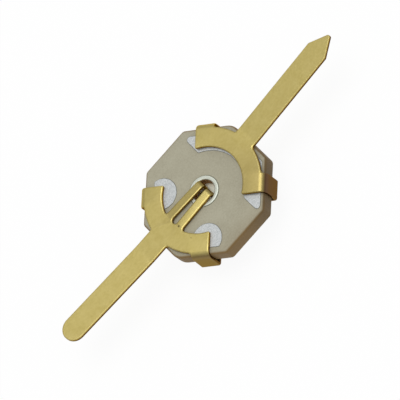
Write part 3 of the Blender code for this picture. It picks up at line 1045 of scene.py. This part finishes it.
@dataclass(frozen=True)
class Terminal:
    """A blanked and folded brass terminal: band, two tabs round the plate, and a lead.

    It is drawn flat with its lead along +X, folded, and turned about Z by turn. lift is
    its height over the plate, side_step the lead's way off the X axis, longer how far
    the lead's end goes past the solid's, and lean how far the tab on the part's -Y side
    leans out as a share of its depth. edge_marks are the marks of the cut edge's points
    from its small rounding down to the lower face.
    """

    name: str
    node: str
    end: LeadEnd
    lift: float
    turn: float
    side_step: float
    flat_length: float
    rise_deg: float
    tines: bool
    # Shares of painted shade and dark reflection on the -Y tab, and of painted shade on the band towards it
    tab_painted_shade: float
    arm_painted_shade: float
    longer: float
    lean: float
    plate: Extent = extent_of("ceramic_stator")
    thickness: float = 0.11
    band_set_back: float = 0.061
    band_width: float = 0.772
    lead_width: float = 1.00
    root_fillet: float = 0.10
    rise_length: float = 0.12
    rise_steps: int = 3
    point_half_deg: float = 31.0
    point_radius: float = 0.10
    tab_width: float = 0.75
    tab_clearance: float = 0.015
    tab_foot: float = 0.30
    foot_drop: float = 0.14
    far_bend_radius: float = 0.14
    near_bend_radius: float = 0.19
    foot_bend_radius: float = 0.06
    corner: float = 0.045
    notch: float = 0.035
    tine_root_half: float = 0.485
    tine_tip_half: float = 0.428
    tine_taper: float = 0.06
    tine_crown: float = 0.10
    # Painted shade on the tines, along them and where they bend, and where the -Y tab's painted shade starts,
    # how far it grows and how it fades on the band
    near_tine_painted_shade: float = 0.09
    far_tine_painted_shade: float = 0.19
    tine_tip_painted_shade: float = 0.32
    tab_painted_shade_from: float = 0.30
    tab_painted_shade_over: float = 0.25
    painted_shade_fade: float = 0.40
    slot_half: float = 0.14
    slot_tip_half: float = 0.083
    slot_set_back: float = 0.047
    tine_fillet: float = 0.10
    tine_bend: float = -0.02
    tine_depth: float = 0.24
    tine_bend_radius: float = 0.03
    roll_width: float = 0.052
    lead_roll_width: float = 0.030
    roll_drop: float = 0.013
    roll_points: int = 6
    roll_margin: float = 1.12
    nose: float = 0.012
    nose_from_deg: float = 35.0
    nose_points: int = 4
    shear: tuple[float, float] = (0.72, 0.60)
    burr: float = 0.012
    burr_insets: tuple[float, float, float] = (0.004, 0.012, 0.024)
    edge_marks: tuple[float, ...] = (0.1, 0.2, 0.3, 0.45, 1.0, 1.0, 1.0, 0.8, 0.0)
    # Share of the torn wall's dark on the band and tines; outside the band it is taken in full, as painted
    # shade
    band_torn_and_shade: float = 0.66
    row_points: int = 7
    row_margin: float = 1.3

    @property
    def band_outer(self) -> float:
        """Radius of the band's outer edge."""
        return self.plate.high[0] - self.band_set_back

    @property
    def band_inner(self) -> float:
        """Radius of the band's inner edge."""
        return self.band_outer - self.band_width

    @property
    def rise_start(self) -> float:
        """Distance from the axis at which the lead bends up."""
        return self.plate.high[0] + self.flat_length

    @property
    def slot_end(self) -> float:
        """Distance from the axis at which the slot between the tines ends."""
        return self.band_inner - self.slot_set_back

    def solid_reach(self) -> float:
        """Distance from the axis to the solid lead's end."""
        space = Extent.of(self.node)
        return max(space.high[0], -space.low[0])

    def is_near(self, side: int) -> bool:
        """Whether the half with this sign of y ends up on the part's -Y side."""
        return side * math.cos(self.turn) < 0

    def bend_radius(self, side: int) -> float:
        """Radius of the lower face in a tab's first bend."""
        return self.near_bend_radius if self.is_near(side) else self.far_bend_radius

    def fold_distance(self, side: int) -> float:
        """Distance from the axis at which a tab starts to bend."""
        return self.plate.high[0] + self.tab_clearance - self.bend_radius(side)

    def tab_fold(self, side: int) -> Fold:
        """Fold a tab down the plate's side, then in below it as a foot.

        Args:
            side: The sign of y of its half.

        Returns:
            Its bends.
        """
        radius = self.bend_radius(side)
        depth = self.lift + self.plate.high[2] - self.plate.low[2] + self.foot_drop
        drop = depth - radius - self.foot_bend_radius
        return Fold((
            Bend(0, 90, radius), Bend(drop, 90, self.foot_bend_radius), Bend(self.tab_foot),
        ))

    def tine_fold(self) -> Fold:
        """Bend a tine's tip down into the post's cup."""
        depth = self.lift + self.tine_depth - self.tine_bend_radius
        return Fold((Bend(0, 90, self.tine_bend_radius), Bend(depth)))

    def lead_fold(self) -> Fold:
        """Bend the lead slightly up, and let it run on past its tip.

        Returns:
            Its bend and its straight run.
        """
        rise = Bend(0, -self.rise_deg, self.rise_length / math.radians(self.rise_deg))
        return Fold((rise, Bend(2 * self.solid_reach() - self.rise_start)), self.rise_steps)

    def tab_point(self, distance: Shares, offset: Shares) -> np.ndarray:
        """Points beside the tab's centre line, which leaves the axis at 45 degrees."""
        return stacked((distance - offset) * HALF_ROOT, (distance + offset) * HALF_ROOT)

    def lead_stations(self) -> np.ndarray:
        """Distances along the lead at which it bends up."""
        return self.rise_start + self.lead_fold().stations()

    def half_outline(self, side: int, inner_run: np.ndarray) -> np.ndarray:
        """Half of the blank, from the lead's bend to the end of inner_run, drawn above the X axis.

        Args:
            side: The sign of y of the half.
            inner_run: The rest of the outline after the band's inner edge.

        Returns:
            Points from the lead's root along the band, round the tab and back inside.
        """
        half = self.tab_width / 2
        lead_edge = self.lead_width / 2 + side * self.side_step
        outward = self.tab_point(1.0, 0.0)
        root = circle_fillet((0, lead_edge), (1, 0), self.band_outer, self.root_fillet, False)
        base = self.tab_point(0.0, -half)
        notch = circle_fillet(base, outward, self.band_outer, self.notch, False, -1)[::-1]
        outer = arc((0, 0), self.band_outer, angle_of(root[-1]), angle_of(notch[0]))
        fold = self.tab_fold(side)
        stations = self.fold_distance(side) + fold.stations()
        tab_end = self.fold_distance(side) + fold.length()
        near = self.tab_point(stations[stations > float(notch[-1] @ outward)], -half)
        far = self.tab_point(stations, half)[::-1]
        corners = self.tab_point(tab_end, -half), self.tab_point(tab_end, half)
        end = rounded_end(near, *corners, far, self.corner)
        base = self.tab_point(0.0, half)
        shoulder = circle_fillet(base, outward, self.band_inner, self.corner, False, -1)
        inner = arc((0, 0), self.band_inner, angle_of(shoulder[-1]), angle_of(inner_run[0]))
        bends = self.lead_stations()[::-1]
        lead = np.column_stack([bends, np.full(len(bends), lead_edge)])
        return joined(lead, root, outer, notch, near, end, far, shoulder, inner, inner_run)

    def inner_run(self) -> np.ndarray:
        """Draw what follows the band's inner edge.

        Returns:
            The edge's middle, or one tine as far as the X axis.
        """
        if not self.tines:
            return np.array([[self.band_inner, 0.0]])
        tip = np.array([self.tine_bend, self.tine_tip_half])
        along = (self.slot_end - self.tine_bend, self.tine_root_half - self.tine_tip_half)
        root = circle_fillet(tip, along, self.band_inner, self.tine_fillet, True)
        fold = self.tine_fold()
        stations = self.tine_bend - fold.stations()
        out = np.column_stack([stations, np.full(len(stations), self.tine_tip_half)])
        back = np.column_stack([stations[::-1], np.full(len(stations), self.slot_tip_half)])
        tip_x = self.tine_bend - fold.length()
        corners = np.array([
            [tip_x, self.tine_tip_half - self.tine_taper], [tip_x, self.slot_tip_half],
        ])
        end = rounded_end(out, *corners, back, self.corner)
        slot_end = arc((self.slot_end - self.slot_half, 0), self.slot_half, QUARTER, 0)
        return joined(root[::-1], out, end, back, slot_end)

    def lead_end(self) -> np.ndarray:
        """Draw the lead's free end flat, where it will reach its place once bent up.

        Returns:
            Its points from its lower to its upper edge.
        """
        half = self.lead_width / 2
        along, out, _, _ = self.lead_fold().table()
        reach = self.solid_reach() + self.longer - self.rise_start
        tip = self.rise_start + float(np.interp(reach, out, along))
        if self.end is LeadEnd.ROUNDED:
            return arc((tip - half, self.side_step), half, -QUARTER, QUARTER)
        angle = math.radians(self.point_half_deg)
        apex = tip + self.point_radius / math.sin(angle) - self.point_radius
        shoulder = apex - half / math.tan(angle)
        low = np.array([shoulder, self.side_step - half])
        high = np.array([shoulder, self.side_step + half])
        point = np.array([apex, self.side_step])
        return joined(
            fillet(low - (1, 0), low, point, self.corner),
            fillet(low, point, high, self.point_radius),
            fillet(point, high, high - (1, 0), self.corner),
        )

    def outline(self) -> np.ndarray:
        """The whole blank's outline, anticlockwise from the lead's lower edge."""
        upper, lower = self.half_outline(1, self.inner_run()), self.half_outline(-1, self.inner_run())
        return joined(self.lead_end(), upper, mirror_run(lower[:-1]))

    def rows(self) -> list[np.ndarray]:
        """Draw the lines across the blank at which it bends.

        Returns:
            Runs of points, clear of the rolled edge.
        """
        inset = self.roll_width * self.row_margin
        across = np.linspace(-1, 1, self.row_points)
        found = []
        for side in (1, -1):
            for station in self.fold_distance(side) + self.tab_fold(side).stations():
                row = self.tab_point(station, across * (self.tab_width / 2 - inset))
                found.append(row * (1, side))
        lead = across * (self.lead_width / 2 - inset) + self.side_step
        found += [np.column_stack([np.full(self.row_points, x), lead]) for x in self.lead_stations()]
        if self.tines:
            tine = np.linspace(self.slot_tip_half + inset, self.tine_tip_half - inset, self.row_points)
            for station in self.tine_fold().stations():
                row = np.column_stack([np.full(self.row_points, self.tine_bend - station), tine])
                found += [row, row * (1, -1)]
        return found

    def place(self, flat: np.ndarray) -> np.ndarray:
        """Fold the flat blank and set it on the plate.

        A tab's point moves from its length past the fold line to the fold's way out
        and way up, a tine's likewise along -X and the lead's along +X. The pair of
        tines is crowned by c (h^2 - y^2), and the tab on the -Y side leans out evenly
        with its depth. All is then turned about Z and lifted.

        Args:
            flat: Points (x, y, height above the lower face).

        Returns:
            The points where they lie on the part.
        """
        x, y, height = flat.T
        new = flat.copy()
        if self.tines:
            share = np.clip((self.band_inner - x) / self.tine_fillet - 1, 0, 1)
            crown = self.tine_crown * np.maximum(self.tine_tip_half**2 - y**2, 0)
            height = height + crown * np.where(x < self.band_inner, share, 0)
            new[:, 2] = height
        for side in (1, -1):
            distance = (x + side * y) * HALF_ROOT
            offset = (side * y - x) * HALF_ROOT
            length = distance - self.fold_distance(side)
            tab = (length > 0) & (np.abs(offset) < self.tab_width / 2 + self.notch + WELD_MM)
            out, up = self.tab_fold(side).place(length[tab], height[tab])
            out = out - self.lean * self.is_near(side) * np.minimum(up, 0)
            far = self.tab_point(self.fold_distance(side) + out, offset[tab])
            new[tab] = np.column_stack([far[:, 0], side * far[:, 1], up])
        if self.tines:
            tip = x < self.tine_bend
            out, up = self.tine_fold().place(self.tine_bend - x[tip], height[tip])
            new[tip] = np.column_stack([self.tine_bend - out, y[tip], up])
        lead = (x > self.rise_start) & (np.abs(y) < self.lead_width)
        out, up = self.lead_fold().place(x[lead] - self.rise_start, height[lead])
        new[lead] = np.column_stack([self.rise_start + out, y[lead], up])

        cos, sin = math.cos(self.turn), math.sin(self.turn)
        return np.column_stack([
            new[:, 0] * cos - new[:, 1] * sin,
            new[:, 0] * sin + new[:, 1] * cos,
            new[:, 2] + self.plate.high[2] + self.lift,
        ])

    def painted_shade(self, flat: np.ndarray) -> np.ndarray:
        """Paint shade on the blank.

        The tab on the part's -Y side takes painted shade and dark reflection from within its
        first bend on. On the band the painted shade grows evenly with its angle from the
        other tab to that one and fades out towards the lead. The tines take a little painted
        shade all over, the one on the +Y side more, and most where they bend.

        Args:
            flat: Points (x, y) of the flat blank.

        Returns:
            The painted shade of each.
        """
        x, y = flat[:, 0], flat[:, 1] * math.cos(self.turn)
        distance, offset = (x + np.abs(y)) * HALF_ROOT, (np.abs(y) - x) * HALF_ROOT
        side = 1 if self.is_near(1) else -1
        past = (distance - self.fold_distance(side)) / self.tab_fold(side).bends[0].reach()
        on_tab = (np.abs(offset) < self.tab_width / 2 + self.notch) & (y < 0)
        onset = np.clip((past - self.tab_painted_shade_from) / self.tab_painted_shade_over, 0, 1)
        tab = np.where(on_tab, self.tab_painted_shade * onset, 0.0)
        way = np.clip(0.5 - np.arctan2(y, np.maximum(x, WELD_MM)) / QUARTER, 0, 1)
        fade = np.clip((self.rise_start - x) / self.painted_shade_fade, 0, 1)
        painted_shade = np.maximum(tab, self.arm_painted_shade * way * fade)
        if not self.tines:
            return painted_shade
        bent = np.clip(2 * (self.tine_bend - x) / self.tine_bend_radius, 0, 1)
        along = np.where(y > 0, self.far_tine_painted_shade, self.near_tine_painted_shade)
        tine = np.maximum(along, self.tine_tip_painted_shade * bent)
        return np.where(np.hypot(x, y) < self.band_inner - self.nose, tine, painted_shade)

    def edge_section(self, width: float) -> tuple[np.ndarray, np.ndarray]:
        """Section of the blanked edge, and its marks.

        The punch draws the upper face down towards the edge by s^2 over the roll's
        width. A small rounding follows, then the wall, sheared above and torn below, where
        its dark colour is partly painted shade, and a slight burr that hangs under the lower face.

        Args:
            width: The roll's width.

        Returns:
            (inset, height) pairs from the upper face to the lower, and one mark each.
        """
        thick, nose, burr = self.thickness, self.nose, self.burr
        share = np.linspace(0, 1, self.roll_points)
        roll = np.column_stack([width + (nose - width) * share, thick - self.roll_drop * share**2])
        angle = np.linspace(math.radians(self.nose_from_deg), QUARTER, self.nose_points)
        sine, cosine = np.sin(angle), np.cos(angle)
        depth = roll[-1, 1] - nose * (cosine[0] - cosine)
        front = np.column_stack([nose * (1 - (sine - sine[0]) / (1 - sine[0])), depth])
        wall = [[0, thick * part] for part in self.shear] + [[0, -burr / 2]]
        under = np.column_stack([self.burr_insets, (-burr, -burr / 2, 0)])
        face = [[self.roll_width * self.roll_margin, thick]]
        section = np.concatenate([face, roll, front[1:], wall, under])
        return section, np.concatenate([np.zeros(1 + len(roll)), self.edge_marks])

    def build(self) -> None:
        """Carry the blanked edge's section round the outline, fill both faces and fold.

        The lead is rolled over less than the band, and only outside the band does the
        lower wall take the dark torn colour in full, which is partly painted shade.
        """
        outline = self.outline()
        band, marks = self.edge_section(self.roll_width)
        lead, _ = self.edge_section(self.lead_roll_width)
        on_lead = outline[:, 0] > self.band_outer + self.root_fillet
        section = np.where(on_lead[None, :, None], lead[:, None], band[:, None])
        # Painted shade: the lower wall is darkest outside the band
        torn_and_shade = np.where(np.hypot(*outline.T) > self.band_outer + self.notch, 1.0, self.band_torn_and_shade)
        shell = Shell()
        add_slab(shell, outline, section, marks[:, None] * torn_and_shade, self.rows(), self.place, self.painted_shade)
        shell.build(self.name, BRASS, "stator", self.node)


@dataclass(frozen=True)
class Film:
    """A printed and fired silver film with a thin, slightly wandering rim.

    Its rim is a run of (inset, share of the thickness) pairs, with their marks. The rim
    wanders by the mean of sines that go round it as often as waves says, all shifted
    along it by out_of_step.
    """

    name: str
    node: str
    body: str
    outline: np.ndarray
    low: float
    high: float
    face_down: bool = False
    wander: float = 0.006
    waves: tuple[int, ...] = (11, 17, 29, 43)
    out_of_step: float = 1.7
    spacing: float = 0.02
    soften: float = 0.035
    rim: tuple[tuple[float, float], ...] = (
        (0.034, 1.0), (0.028, 1.0), (0.016, 0.9), (0.006, 0.6), (0.0, 0.2), (0.0, 0.0)
    )
    rim_marks: tuple[float, ...] = (0.0, 0.1, 0.5, 1.0, 1.0, 1.0)

    def place(self, flat: np.ndarray) -> np.ndarray:
        """Lift flat points to where the film's lower face lies."""
        return flat + (0, 0, self.low)

    def painted_shade(self, flat: np.ndarray) -> np.ndarray:
        """Leave every point without painted shade."""
        return np.zeros(len(flat))

    def build(self) -> None:
        """Soften the outline's corners, let it wander, and round the film off along it."""
        outline = softened(evenly(self.outline, self.spacing), self.soften / self.spacing)
        count = len(outline)
        along = np.arange(count) * 2 * math.pi / count
        wave = np.mean([np.sin((along + self.out_of_step) * k) for k in self.waves], axis=0)
        outline = outline + inward(outline) * (self.wander * (1 + wave))[:, None]
        section, marks = np.array(self.rim), np.array(self.rim_marks)
        if self.face_down:
            section = section[::-1] * (1, -1) + (0, 1)
            marks = marks[::-1]
        section = section * (1, self.high - self.low)
        shell = Shell()
        add_slab(shell, outline, section, marks, [], self.place, self.painted_shade)
        shell.build(self.name, SILVER, self.body, self.node)


@dataclass(frozen=True)
class FilmSet:
    """Three lands on the plate's upper face, and the electrodes under plate and disc."""

    plate: Extent = extent_of("ceramic_stator")
    land: Extent = extent_of("stator_land")
    left: Extent = extent_of("rotor_land_left")
    stator: Extent = extent_of("stator_electrode")
    rotor: Extent = extent_of("rotor_electrode")
    sink: float = 0.001
    land_inner: float = 1.65
    land_cut_deg: float = 58.6
    land_corner: float = 0.15
    round_radius: float = 0.64
    round_chord: float = 0.357
    round_flat_deg: float = 135.0
    electrode_inner: float = 1.02
    rotor_inner: float = 0.58

    def half_plate(self, corners: list[tuple[float, float]], inner: float) -> np.ndarray:
        """Outline on the +X half of the plate, open round its centre.

        Args:
            corners: Corners from the X axis to the cut end above it.
            inner: Radius of the inner edge.

        Returns:
            The outline, mirrored in the X axis, anticlockwise.
        """
        points = np.array(corners)
        trios = zip(points, points[1:], points[2:])
        runs = [fillet(before, corner, after, self.land_corner) for before, corner, after in trios]
        inner_arc = arc((0, 0), inner, angle_of(points[-1]), 0)
        upper = joined(points[:1], *runs, inner_arc)
        return joined(upper, mirror_run(upper))

    def build_lands(self) -> None:
        """Print the land under the stator terminal and the two round ones, a little off centre."""
        low, high = self.plate.high[2] - self.sink, self.land.high[2]
        shift = (self.land.high[1] + self.land.low[1]) / 2
        edge = self.land.high[0]
        cut = self.land_inner * math.cos(math.radians(self.land_cut_deg))
        corners = [
            (edge, 0), (edge, edge * math.tan(HALF_SIDE)), (cut, edge * math.sqrt(2) - cut),
            (cut, math.sqrt(self.land_inner**2 - cut**2)),
        ]
        land = self.half_plate(corners, self.land_inner) + (0, shift)
        Film("land_of_stator", "stator_land", "stator", land, low, high).build()

        x, y = self.left.high[0] - self.round_radius, self.left.low[1] + self.round_radius - shift
        half = math.acos(self.round_chord / self.round_radius)
        for side, hand in ((1, "left"), (-1, "right")):
            flat = math.radians(self.round_flat_deg) * side
            outline = arc((x, y * side + shift), self.round_radius, flat + half, flat + 2 * math.pi - half)
            Film(f"land_{hand}", f"rotor_land_{hand}", "stator", outline, low, high).build()

    def build_electrodes(self) -> None:
        """Print the stator's electrode under the plate and the rotor's under the disc."""
        edge, cut = self.stator.high[0], self.stator.low[0]
        corner = edge * math.tan(HALF_SIDE)
        corners = [
            (edge, 0), (edge, corner), (corner, edge), (cut, edge),
            (cut, math.sqrt(self.electrode_inner**2 - cut**2)),
        ]
        outline = self.half_plate(corners, self.electrode_inner)
        low, high = self.stator.low[2], self.stator.high[2]
        Film("electrode_of_stator", "stator_electrode", "stator", outline, low, high, True).build()

        reach, cut = -self.rotor.low[0], -self.rotor.high[0]
        outer, inner = math.asin(cut / reach), math.asin(cut / self.rotor_inner)
        outline = joined(
            arc((0, 0), reach, QUARTER + outer, 3 * QUARTER - outer),
            arc((0, 0), self.rotor_inner, 3 * QUARTER - inner, QUARTER + inner),
        )
        low, high = self.rotor.low[2], self.rotor.high[2]
        Film("electrode_of_rotor", "rotor_electrode", "rotor", outline, low, high, True).build()

    def build(self) -> None:
        """Build the five films, each where its node is."""
        self.build_lands()
        self.build_electrodes()


@dataclass(frozen=True)
class Rotor:
    """Slotted post with its flared rim, the disc that it turns, and the bowed washer.

    The post's marks are shares of the tarnish colour: tarnish on the shank, with a third
    of it under the rim; painted reflection and shade of the brass tines at the foot of the
    flare and at the cup's wall; and a little at the floor's edge and middle.
    """

    plate: Extent = extent_of("ceramic_stator")
    electrode: Extent = extent_of("stator_electrode")
    post: Extent = extent_of("rotor_post")
    disc: Extent = extent_of("rotor_disc")
    washer: Extent = extent_of("bowed_washer")
    shank: float = 0.52
    rim: float = 0.62
    rim_edge: float = 0.035
    rim_under: float = 0.07
    mouth: float = 0.50
    cup: float = 0.445
    flare_depth: float = 0.06
    cup_depth: float = 0.37
    cup_corner: float = 0.03
    flat: float = 0.42
    head_thickness: float = 0.40
    head_edge: float = 0.06
    slot_width: float = 0.30
    slot_depth: float = 0.20
    slot_edge: float = 0.015
    slot_edge_steps: int = 3
    slot_foot: tuple[tuple[float, float], ...] = ((0.0, 1.0), (0.3, 0.3), (1.0, 0.0))
    disc_edge: float = 0.06
    seat: float = 0.01
    washer_inner: float = 0.58
    washer_thickness: float = 0.08
    washer_edge: float = 0.015
    washer_rings: int = 9
    shank_mark: float = 0.3
    # Painted reflection and shade of the brass tines at the foot of the flare and on the cup's wall, and a
    # little on its floor
    flare_mark: float = 0.8
    cup_marks: tuple[float, float, float] = (1.0, 0.1, 0.05)
    round_steps: int = 160
    chord_points: int = 41
    land_chords: int = 26
    flare_steps: int = 7

    @property
    def angles(self) -> np.ndarray:
        """Directions of the points on each turned ring."""
        return (np.arange(self.round_steps) + 0.5) * 2 * math.pi / self.round_steps

    def head_face(self) -> tuple[np.ndarray, np.ndarray]:
        """The head's slotted face, and its border.

        The face is drawn as chords parallel to the slot. Chord j lies at y_j and z_j of
        the slot's section, and its point i at x = u_i * sqrt(R^2 - y_j^2), u from -1 to 1.
        slot_foot rounds the corner where the slot's wall meets its floor.

        Returns:
            The face's grid, and its border as a ring of points.
        """
        radius = self.post.high[0] - self.head_edge
        half, edge, depth = self.slot_width / 2, self.slot_edge, self.slot_depth
        mouth = rounded_edge(edge, self.slot_edge_steps)[2:] + (half, 0)
        floor = (half, depth) - edge * np.array(self.slot_foot)
        polar = np.linspace(QUARTER, math.asin((half + edge) / radius), self.land_chords)
        land = np.column_stack([radius * np.sin(polar), np.zeros(len(polar))])
        upper = np.concatenate([land, mouth, floor])
        section = np.concatenate([upper, [[0.0, depth]], (upper * (-1, 1))[::-1]])
        chord = np.sqrt(np.maximum(radius**2 - section[:, 0] ** 2, 0.0))
        share = np.linspace(-1, 1, self.chord_points)
        grid = stacked(share * chord[:, None], section[:, 0, None], section[:, 1, None])
        border = np.concatenate([grid[:, -1], grid[::-1, 0]])
        return grid, border

    def head_side(self, border: np.ndarray) -> np.ndarray:
        """The head's rounded side, cut down to the slot where the slot comes out.

        Row i is a ring of radius r_i at height z_i, raised to the face's border where
        the slot runs through it.

        Args:
            border: The slotted face's border.

        Returns:
            The side's grid, from the face to the back of the head.
        """
        direction = np.arctan2(border[:, 1], border[:, 0])
        head, thick = self.post.high[0], self.head_thickness
        edge = rounded_edge(self.head_edge)[1:]
        levels = np.concatenate([edge[:, 1], [self.slot_depth + self.head_edge], thick - edge[::-1, 1]])
        radii = np.concatenate([head - edge[:, 0], [head], head - edge[::-1, 0]])
        start = np.where(levels[:, None] < self.head_edge + WELD_MM, border[None, :, 2], 0.0)
        height = np.maximum(levels[:, None] + start, border[None, :, 2])
        height = np.minimum(np.maximum.accumulate(height, axis=0), thick)
        return stacked(radii[:, None] * np.cos(direction), radii[:, None] * np.sin(direction), height)

    def shank_profile(self) -> tuple[np.ndarray, np.ndarray]:
        """Profile of the shank, the flared rim and the cup, and its marks.

        From the crown the mouth falls into the cup as a quarter ellipse.

        Returns:
            (radius, height) pairs from the head to the cup's floor, and one mark each.
        """
        top = self.post.high[2]
        edge = rounded_edge(self.rim_edge)[1:]
        turn = np.linspace(0, QUARTER, self.flare_steps + 1)
        flare = np.column_stack([
            self.mouth - (self.mouth - self.cup) * np.sin(turn),
            top - self.flare_depth * (1 - np.cos(turn)),
        ])
        under, floor = self.plate.high[2] - self.rim_under, top - self.cup_depth
        levels = (self.head_thickness, self.washer.low[2], self.electrode.low[2], under)
        profile = np.concatenate([
            [[self.shank, level] for level in levels] + [[self.rim, under]],
            np.column_stack([self.rim - edge[::-1, 0], top - edge[::-1, 1]]),
            flare,
            [[self.cup, floor + self.cup_corner], [self.cup - self.cup_corner, floor]],
        ])
        # The flare's and cup wall's shares are painted reflection and shade
        marks = np.concatenate([
            [self.shank_mark] * len(levels) + [self.shank_mark / 3], np.zeros(len(edge)),
            self.flare_mark * (turn / QUARTER) ** 2, self.cup_marks[:2],
        ])
        return profile, marks

    def build_post(self) -> None:
        """Join the slotted head, the shank with its flats, and the flared rim round its cup."""
        grid, border = self.head_face()
        side = self.head_side(border)
        shell = Shell()
        shell.add_grid(grid, False, np.clip(grid[..., 2] / self.slot_depth, 0, 1) * self.shank_mark)
        shell.add_grid(side, True)

        profile, marks = self.shank_profile()
        body = turned(profile, np.arctan2(border[:, 1], border[:, 0]))
        keyed = (profile[:, 0] == self.shank) & (profile[:, 1] >= self.washer.low[2])
        keyed &= profile[:, 1] <= self.electrode.low[2]
        body[keyed, :, 1] = np.clip(body[keyed, :, 1], -self.flat, self.flat)
        shell.add_grid(np.stack([side[-1], body[0]]), True, self.shank_mark)
        shell.add_grid(body, True, marks[:, None])
        shell.add_pole(body[-1], self.cup_marks[2])
        shell.build("post", PLATE, "rotor", "rotor_post")

    def build_disc(self) -> None:
        """Turn the disc from its rounded edge to its bore with two flats."""
        low, high, radius = self.disc.low[2], self.disc.high[2], self.disc.high[0]
        edge = rounded_edge(self.disc_edge)
        bore = self.shank + self.seat
        profile = np.concatenate([
            np.column_stack([radius - edge[:, 0], high - edge[:, 1]]),
            np.column_stack([radius - edge[::-1, 0], low + edge[::-1, 1]]),
            [[bore, low], [bore, high]],
        ])
        grid = turned(profile, self.angles)
        flat = self.flat + self.seat
        grid[-2:, :, 1] = np.clip(grid[-2:, :, 1], -flat, flat)
        shell = Shell()
        shell.add_grid(np.concatenate([grid, grid[:1]]), True)
        shell.build("disc", WHITE_CERAMIC, "rotor", "rotor_disc")

    def build_washer(self) -> None:
        """Bow a ring of sheet: its height falls with the square of x, to nothing at its rim."""
        low, high = self.washer_inner, self.washer.high[0]
        edge, thick = self.washer_edge, self.washer_thickness
        radii = np.linspace(low + edge, high - edge, self.washer_rings)
        upper = np.column_stack([radii, np.full(len(radii), thick)])
        outer, inner = [[high, thick - edge], [high, edge]], [[low, edge], [low, thick - edge]]
        profile = np.concatenate([upper, outer, upper[::-1] * (1, 0), inner, upper[:1]])
        bow = self.washer.high[2] - self.washer.low[2] - thick
        grid = turned(profile, self.angles)
        grid[..., 2] += self.washer.low[2] + bow * (1 - (grid[..., 0] / high) ** 2)
        shell = Shell()
        rim = (profile[:, 0] == high) | (profile[:, 0] == low)
        shell.add_grid(grid, True, rim[:, None] * 1.0)
        shell.build("washer", BRONZE, "rotor", "bowed_washer")

    def build(self) -> None:
        """Build the rotor's three turned or bowed pieces."""
        self.build_post()
        self.build_disc()
        self.build_washer()


# Stage


@dataclass(frozen=True)
class Studio:
    """Floor, soft lights and the camera at the photograph's angle.

    right, up and toward are the camera's axes, fitted to the photograph, view_width the
    width in millimetres that it sees, and centre_offset how far the rotor's axis at the
    plate's face lies from the picture's middle, in pixels.
    """

    right: tuple[float, float, float] = (0.6598, -0.5952, -0.4588)
    up: tuple[float, float, float] = (0.7466, 0.5886, 0.3101)
    toward: tuple[float, float, float] = (0.0855, -0.5471, 0.8327)
    view_width: float = 14.964
    centre_offset: tuple[float, float] = (3.974, 9.011)
    pixels_per_mm: float = 26.73
    lens: float = 400.0
    sensor: float = 36.0
    floor_half: float = 400.0
    key_direction: tuple[float, float, float] = (0.12, 0.02, 0.99)
    key_distance: float = 260.0
    key_size: float = 200.0
    key_power: float = 0.296
    sky: float = 0.56
    floor_gap: float = 0.004

    def build(self) -> None:
        """Lay the floor, hang the lights and set the camera."""
        half = self.floor_half * MM
        low = -self.floor_gap * MM
        shape = np.array([(-half, -half, low), (half, -half, low), (half, half, low), (-half, half, low)])
        mesh = bpy.data.meshes.new("floor")
        mesh.from_pydata(shape, [], [(0, 1, 2, 3)])
        mesh.materials.append(CARD.material())
        floor = bpy.data.objects.new("floor", mesh)
        bpy.context.scene.collection.objects.link(floor)

        world = bpy.data.worlds.new("studio")
        world.use_nodes = True
        bpy.context.scene.world = world
        background = world.node_tree.nodes["Background"]
        background.inputs["Color"].default_value = (1.0, 1.0, 1.0, 1.0)
        background.inputs["Strength"].default_value = self.sky

        lamp = bpy.data.lights.new("softbox", "AREA")
        lamp.shape = "DISK"
        lamp.size = self.key_size * MM
        lamp.energy = self.key_power
        box = bpy.data.objects.new("softbox", lamp)
        direction = Vector(self.key_direction).normalized()
        box.location = direction * self.key_distance * MM
        box.rotation_euler = direction.to_track_quat("Z", "Y").to_euler()
        bpy.context.scene.collection.objects.link(box)

        right, up, toward = (Vector(axis).normalized() for axis in (self.right, self.up, self.toward))
        aim = Vector((0, 0, Extent.of("ceramic_stator").high[2]))
        aim -= (right * self.centre_offset[0] + up * self.centre_offset[1]) / self.pixels_per_mm
        data = bpy.data.cameras.new("camera")
        data.lens = self.lens
        data.sensor_width = self.sensor
        distance = self.lens / self.sensor * self.view_width
        data.clip_start = 1 * MM
        data.clip_end = 10.0
        camera = bpy.data.objects.new("camera", data)
        turn = Matrix((right, up, toward)).transposed()
        camera.matrix_world = Matrix.Translation((aim + toward * distance) * MM) @ turn.to_4x4()
        bpy.context.scene.collection.objects.link(camera)
        bpy.context.scene.camera = camera
        bpy.context.scene.view_settings.view_transform = "Standard"


def main() -> None:
    """Build the part piece by piece, then the stage."""
    logging.basicConfig(level=logging.INFO, format="%(name)s %(message)s")
    Plate().build()
    Terminal(
        "terminal_of_stator", "stator_terminal", LeadEnd.POINTED,
        lift=0.10, turn=0.0, side_step=0.06, flat_length=0.06, rise_deg=4.2,
        tines=False, tab_painted_shade=1.0, arm_painted_shade=0.3, longer=-0.035, lean=0.0,
    ).build()
    Terminal(
        "terminal_of_rotor", "rotor_terminal", LeadEnd.ROUNDED,
        lift=0.05, turn=math.pi, side_step=-0.042, flat_length=0.66, rise_deg=3.6,
        tines=True, tab_painted_shade=0.75, arm_painted_shade=0.0, longer=0.05, lean=0.06,
    ).build()
    FilmSet().build()
    Rotor().build()
    Studio().build()


if __name__ == "__main__":
    main()
